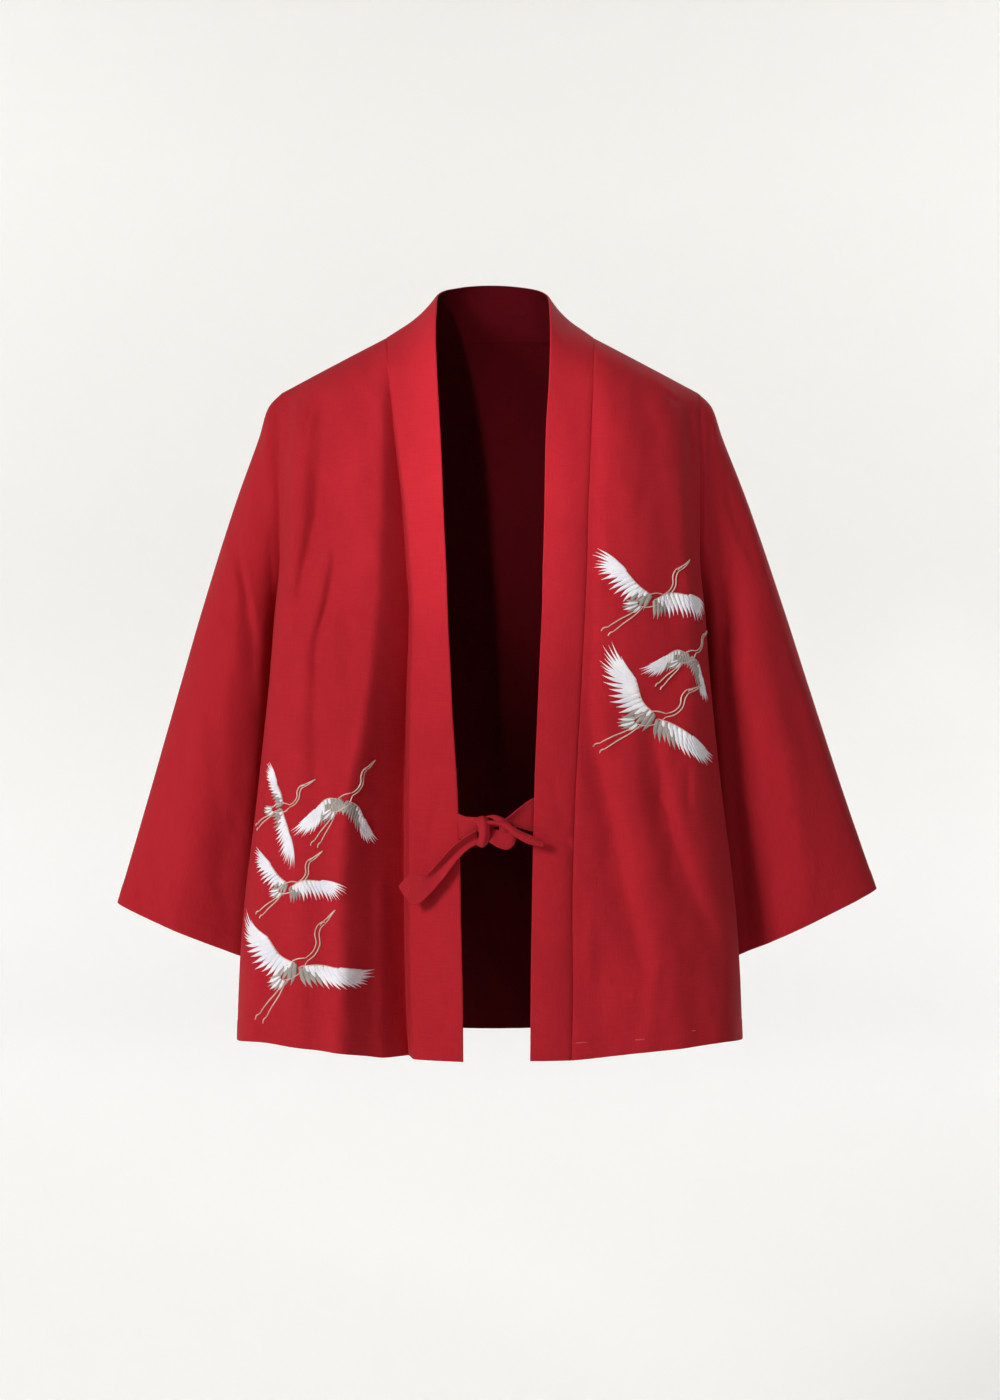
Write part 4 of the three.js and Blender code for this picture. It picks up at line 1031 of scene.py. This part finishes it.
def tie_strip(rails, long=56, wide=16):
    """A strip, its thickness and its map. It is thinner along its stitching, 2.2 mm inside both edges."""
    points = strip_between(rails, long, wide)
    reach, span = run_of(points, 0), run_of(points, 1)
    from_edge = np.minimum(span, span[:, -1:] - span)
    from_end = np.minimum(reach, reach[-1] - reach)
    stitched = np.exp(-(((from_edge - 2.2) / 0.7) ** 2))
    thickness = (TIE_CLOTH - 0.35 * stitched) * rounded_rim(np.minimum(from_edge, from_end), 0.9)
    return points, thickness, np.stack([span, reach], axis=2)


tie_cotton = crimson_cotton("crimson cotton, folded double", ("#9f1a27", "#b3222d"), slub=1.2)


def tie_wall(name, rails, *counts):
    points, thickness, uv = tie_strip(rails, *counts)
    return wall_of_cloth(name, points, (0, -1, 0), thickness, (tie_cotton, tie_cotton), uv=uv)


for name, rails in TIES.items():
    belongs(tie_wall(name + "_cloth", rails), name)
knot_parts = [tie_wall(f"turn_{i}", rails, 40, 14) for i, rails in enumerate(KNOT_TURNS)]
with bpy.context.temp_override(active_object=knot_parts[0], selected_editable_objects=knot_parts):
    bpy.ops.object.join()
knot = knot_parts[0]
knot.name = "tie_knot_cloth"
belongs(knot, "tie_knot")

# ---------------------------------------------------------------- embroidery
# Flying cranes worked on both fronts in rayon thread. Each feather is a slim blade of satin stitch over a
# little padding, white or warm grey; necks, backs, wing bones and legs are a beige cord couched down.


MAP_STEP = 2.0
MAP_FIXED = 150  # where the way across the cloth is the same as x


def cloth_map(front, shape, sign):
    """A front's outer skin over an even grid, in mm, of ways across the cloth by levels z: the places
    (x, y, z)."""
    points = np.empty(len(front.data.vertices) * 3, dtype=np.float32)
    front.data.vertices.foreach_get("co", points)
    skin = points.reshape(-1, 3)[: shape[0] * shape[1]].reshape(*shape, 3) * [sign / MM, 1 / MM, 1 / MM]
    across, levels = np.arange(60, 300, MAP_STEP), np.arange(-700, -30, MAP_STEP)
    way = run_of(skin[..., :2], 1)
    rows = np.empty((len(skin), len(across), 3))
    for r, (line, run) in enumerate(zip(skin, way)):
        widest = line[:, 0].argmax() + 1
        run = run - np.interp(MAP_FIXED, line[:widest, 0], run[:widest]) + MAP_FIXED
        rows[r] = np.stack([np.interp(across, run, line[:, k]) for k in range(3)], axis=1)
    places = [
        np.stack([np.interp(levels, rows[:, i, 2], rows[:, i, k]) for k in range(2)] + [levels], axis=1)
        for i in range(len(across))
    ]
    return across, levels, np.stack(places, axis=1)


def on_cloth(cloth, sign, x, z, height):
    """Places on a front raised square to it, from the way across the cloth and the level: read between the
    map's four nearest places."""
    across, levels, places = cloth
    i = np.clip((sign * x - across[0]) / MAP_STEP, 0, len(across) - 1.001)
    j = np.clip((z - levels[0]) / MAP_STEP, 0, len(levels) - 1.001)
    a, b = i.astype(int), j.astype(int)
    u, v = (i - a)[..., None], (j - b)[..., None]

    def read(field):
        low = mix(field[b, a], field[b, a + 1], u)
        return mix(low, mix(field[b + 1, a], field[b + 1, a + 1], u), v)

    up, over = np.gradient(places, MAP_STEP, axis=(0, 1))
    normal = unit(read(np.cross(over, up)))
    return (read(places) + normal * height[..., None]) * [sign, 1, 1]


RING = 8  # points round a thread; the caps at its ends are drawn for this many


def worked_on(cloth, sign, middles, half_widths, heights):
    """Threads laid on the cloth: each follows a middle line (threads, stations, 2) and has an oval section,
    `half_widths` to either side and `heights` up, that sinks 0.15 mm into the cloth."""
    ahead = unit(np.gradient(middles, axis=1))
    across = np.stack([-ahead[..., 1], ahead[..., 0]], axis=-1)
    turn = np.linspace(0, 2 * math.pi, RING, endpoint=False)
    places = middles[:, :, None] + across[:, :, None] * (half_widths[..., None] * np.cos(turn))[..., None]
    lift = heights[..., None] * np.sin(turn) + heights[..., None] * 0.55 - 0.15
    points = on_cloth(cloth, sign, places[..., 0], places[..., 1], np.maximum(lift, -0.25))
    threads, stations = middles.shape[:2]
    one = grid_faces(stations, RING, closed=True)[:, ::-1]
    cap = np.array([[0, 1, 2, 7], [2, 3, 6, 7], [3, 4, 5, 6]])
    one = np.concatenate([one, cap, cap[:, ::-1] + (stations - 1) * RING])
    faces = one[None] + (np.arange(threads) * stations * RING)[:, None, None]
    length = np.linalg.norm(np.diff(middles, axis=1), axis=2).sum(axis=1)
    run = np.linspace(0, 1, stations)[None, :, None] * length[:, None, None]
    side = half_widths[..., None] * np.cos(turn)
    uv = np.stack([side, run + 0 * side], axis=-1)
    return points.reshape(-1, 3) * MM, faces.reshape(-1, 4), uv.reshape(-1, 2) * MM


def feathers(roots, angles, lengths, widths, bow=0.06):
    """Blades from their roots at angles in degrees: the middle line bows sideways by a parabola, and the
    width is even to the middle and closes to a point. Returns the lines and the half widths."""
    t = np.linspace(0, 1, 12)
    turn = np.radians(angles)
    ahead = np.stack([np.cos(turn), np.sin(turn)], axis=1)
    aside = np.stack([-ahead[:, 1], ahead[:, 0]], axis=1)
    line = roots[:, None] + lengths[:, None, None] * (
        ahead[:, None] * t[None, :, None] + aside[:, None] * (bow * 4 * t * (1 - t))[None, :, None]
    )
    full = np.clip(t / 0.1, 0.12, 1) ** 0.5 * np.clip(1 - ease(t, 0.5, 1.02), 0.02, 1) ** 0.75
    return line, widths[:, None] / 2 * full[None, :]


def wing(shoulder, elbow, wrist, angles, lengths, count=20, bow=0.06):
    """A wing's feathers in three rows, each shorter than the one that it lies over: rooted along the bones
    as far as the wrist and then fanned from it. `angles` and `lengths` are those of the innermost feather,
    of the one at the wrist and of the outermost. Returns the rows, and the bones' line."""
    bone = np.array([shoulder, elbow, wrist], float)[None]
    rows = []
    for number, share, wide in ((count, 1.0, 5.6), (count - 3, 0.62, 5.4), (count - 6, 0.34, 5.0)):
        u = np.linspace(0, 1, number)
        roots = smooth_curve(bone, np.clip(u / 0.6, 0, 1))[0]
        turn = np.interp(u, [0, 0.6, 1], angles)
        reach = np.interp(u, [0, 0.6, 1], lengths) * share * (1 + 0.07 * np.sin(u * 37))
        narrower = (1 - 0.25 * u) * (1 - 0.22 * (share == 1) * ease(u, 0.55, 0.75))
        rows.append(feathers(roots, turn, reach, wide * narrower, bow))
    return rows, smooth_curve(bone, np.linspace(0, 1, 20))[0]


# A crane flying to the right, with its middle at 0, in mm: cords, then each wing.
CRANE_CORDS = [
    [(19, 5), (8, 9), (-8, 8), (-22, 2)],
    [(18, 1), (8, -5), (-8, -6), (-20, -2)],
    [(19, 5), (29, 7), (37, 13), (41, 23), (48, 29), (56, 30)],
    [(18, 1), (30, 3), (40, 10), (45, 20), (50, 25), (56, 26.5)],
    [(56, 30), (62, 30.5), (76, 33)],
    [(56, 26.5), (62, 28), (76, 33)],
    [(50, 27.5), (53, 29), (57, 28.5)],
    [(-16, -3), (-30, -9), (-48, -14), (-64, -20)],
    [(-14, -5), (-28, -13), (-44, -20), (-58, -27)],
    [(-64, -20), (-69, -20), (-73, -23)],
    [(-58, -27), (-63, -28), (-66, -31)],
]
CRANE_TAIL = {
    "roots": [(-17, 4), (-19, 3), (-20, 1.5), (-20, 0), (-19, -1.5), (-17, -3)],
    "angles": [166, 174, 181, 188, 196, 205],
    "lengths": [18, 20, 21, 20, 18, 15],
}
CRANE_POSES = {
    # Shoulder, elbow and wrist, then the feathers' angles and lengths; how far the neck swings.
    "soaring": {
        "near": ((5, 6), (-8, 22), (-13, 46), (226, 160, 116), (25, 40, 56)),
        "far": ((9, 0), (26, -8), (48, -24), (256, 296, 326), (23, 38, 53)),
        "neck": 0,
    },
    "braking": {
        "near": ((0, 7), (-16, 18), (-40, 16), (264, 222, 184), (22, 36, 52)),
        "far": ((9, -2), (18, -18), (20, -40), (200, 240, 278), (19, 32, 44)),
        "neck": -14,
    },
    "gliding": {
        "near": ((1, 0), (7, -20), (13, -46), (192, 236, 274), (23, 40, 56)),
        "far": ((6, 8), (4, 26), (-4, 44), (198, 152, 114), (19, 31, 42)),
        "neck": 10,
    },
    "climbing": {
        "near": ((3, 1), (28, 5), (54, -3), (256, 290, 332), (24, 37, 50)),
        "far": ((0, 8), (-15, 24), (-26, 44), (230, 172, 130), (22, 36, 50)),
        "neck": 8,
    },
}


def turned(line, degrees):
    """A line in the plane turned about 0."""
    cos, sin = math.cos(math.radians(degrees)), math.sin(math.radians(degrees))
    return line @ np.array([[cos, sin], [-sin, cos]])


def crane(place, pose, size, turn, greys):
    """One crane, turned by `turn` degrees about its middle, with `greys` grey feathers nearest to the body
    in each wing: its white feathers, its grey ones and its cords. Feathers come as lines, half widths and
    a height."""
    pose = CRANE_POSES[pose]

    def laid(line):
        return np.array(place) + turned(line, turn) * size

    white, grey = [], []
    far, far_bone = wing(*pose["far"], count=18, bow=-0.05)
    near, near_bone = wing(*pose["near"])
    firsts = (greys, greys * 2 // 3, greys // 3)
    for rows in (far, near):
        for (lines, widths), height, first in zip(rows, (0.6, 0.9, 1.15), firsts):
            grey.append((lines[:first], widths[:first], height))
            white.append((lines[first:], widths[first:], height))
    roots, angles, lengths = (np.array(CRANE_TAIL[key], float) for key in ("roots", "angles", "lengths"))
    tail = feathers(roots, angles, lengths, np.full(len(roots), 3.8), 0.04)
    grey.append((tail[0][::2], tail[1][::2], 0.8))
    white.append((tail[0][1::2], tail[1][1::2], 0.8))
    cords = []
    for i, knots in enumerate(CRANE_CORDS):
        line = np.array(knots, float)
        if 2 <= i <= 6:  # the neck swings about its foot
            line = [18, 3] + turned(line - [18, 3], pose["neck"])
        cords.append(smooth_curve(line[None], np.linspace(0, 1, 26))[0])
    cords += [smooth_curve(bone[None], np.linspace(0, 1, 26))[0] for bone in (far_bone, near_bone)]
    white, grey = (
        [(laid(lines), widths * size, height) for lines, widths, height in group] for group in (white, grey)
    )
    return white, grey, laid(np.stack(cords))


# Each crane: its place (x, z), pose, size, turn and number of grey feathers.
FLIGHT = {
    "right": [
        ((-140, -456), "braking", 0.68, 34, 9),
        ((-206, -462), "gliding", 0.58, 6, 5),
        ((-196, -538), "climbing", 0.62, 16, 4),
        ((-190, -616), "soaring", 0.88, 30, 4),
    ],
    "left": [
        ((157, -262), "climbing", 0.76, 12, 4),
        ((196, -316), "braking", 0.60, 20, 10),
        ((155, -376), "soaring", 0.84, 6, 5),
    ],
}

# Short tacks that hold the left front's hem facing, from and to (x, z).
TACKS = [[(82, -684.2), (93, -683.4)], [(139, -681.4), (148, -680.6)], [(196, -674), (200, -674)]]


def embroidery_thread(name, colour, slant=0.6, pitch=0.45):
    """Rayon thread: fine slanting threads side by side as relief, a soft sheen, and a faint change of tone
    from feather to feather."""
    material, tree, shader = new_material(name)
    place = node(tree, "ShaderNodeUVMap", uv_map="cloth").outputs["UV"]
    where = node(tree, "ShaderNodeTexCoord").outputs["Object"]
    laid = ribs(tree, place, pitch, "Y", 0.6, slant)
    shade = maths(tree, "MULTIPLY_ADD", laid, 0.25, 0.0)
    shade = maths(tree, "MULTIPLY_ADD", noise(tree, where, 60.0, 3.0), 0.9, shade)
    set_sockets(tree, shader, {
        "Base Color": two_tone(tree, ramp(tree, shade, 0.3, 0.85), *colour),
        "Normal": relief(tree, laid, 0.35, 0.0002),
        "Roughness": 0.48,
        "Specular IOR Level": 0.4,
        "Sheen Weight": 0.2,
    })
    return material


THREADS = {
    "white": embroidery_thread("white rayon thread, satin stitch", ("#e0dff0", "#fcfbfd")),
    "grey": embroidery_thread("warm grey rayon thread, satin stitch", ("#857c7a", "#b7aea9")),
    "beige": embroidery_thread("beige rayon cord, couched", ("#c4a093", "#e8d3c9"), slant=1.1, pitch=0.8),
    "red": embroidery_thread("crimson sewing thread", ("#b83a45", "#d0525c")),
}


def slender(lines, half_width, end, power):
    """Half widths along cords, drawn in at both ends."""
    along_line = np.linspace(end, 1 - end, lines.shape[1])
    return np.full(lines.shape[:2], half_width) * np.sin(math.pi * along_line) ** power


def gathered(parts):
    """One mesh's points, faces and map from several."""
    counts = np.cumsum([0] + [len(p) for p, _, _ in parts[:-1]])
    return (np.concatenate([p for p, _, _ in parts]),
            np.concatenate([f + n for (_, f, _), n in zip(parts, counts)]),
            np.concatenate([u for _, _, u in parts]))


needlework, maps = {}, {}
for name, sign in SIDES.items():
    maps[name] = cloth_map(front_cloth[name], fronts[name].shape[:2], sign)
    work = {"white": [], "grey": [], "beige": []}
    for bird in FLIGHT[name]:
        white, grey, cords = crane(*bird)
        for colour, group in (("white", white), ("grey", grey)):
            for lines, widths, height in group:
                raised = height * np.clip(widths / widths.max(), 0.1, 1) ** 0.5
                work[colour].append(worked_on(maps[name], sign, lines, widths, raised))
        slim = slender(cords, 0.62, 0.04, 0.25)
        work["beige"].append(worked_on(maps[name], sign, cords, slim, slim * 1.5))
    needlework[name] = []
    for colour, parts in work.items():
        points, faces, uv = gathered(parts)
        piece = mesh_object(f"cranes_{name}_{colour}", points, faces, THREADS[colour], uv=uv)
        needlework[name].append(belongs(piece))

starts, ends = np.array(TACKS, float).swapaxes(0, 1)
lines = np.linspace(starts, ends, 10, axis=1)
slim = slender(lines, 0.5, 0.08, 0.3)
points, faces, uv = worked_on(maps["left"], SIDES["left"], lines, slim, slim * 1.2)
tacks = mesh_object("hem_tacks", points, faces, THREADS["red"], uv=uv)
needlework["left"].append(belongs(tacks))
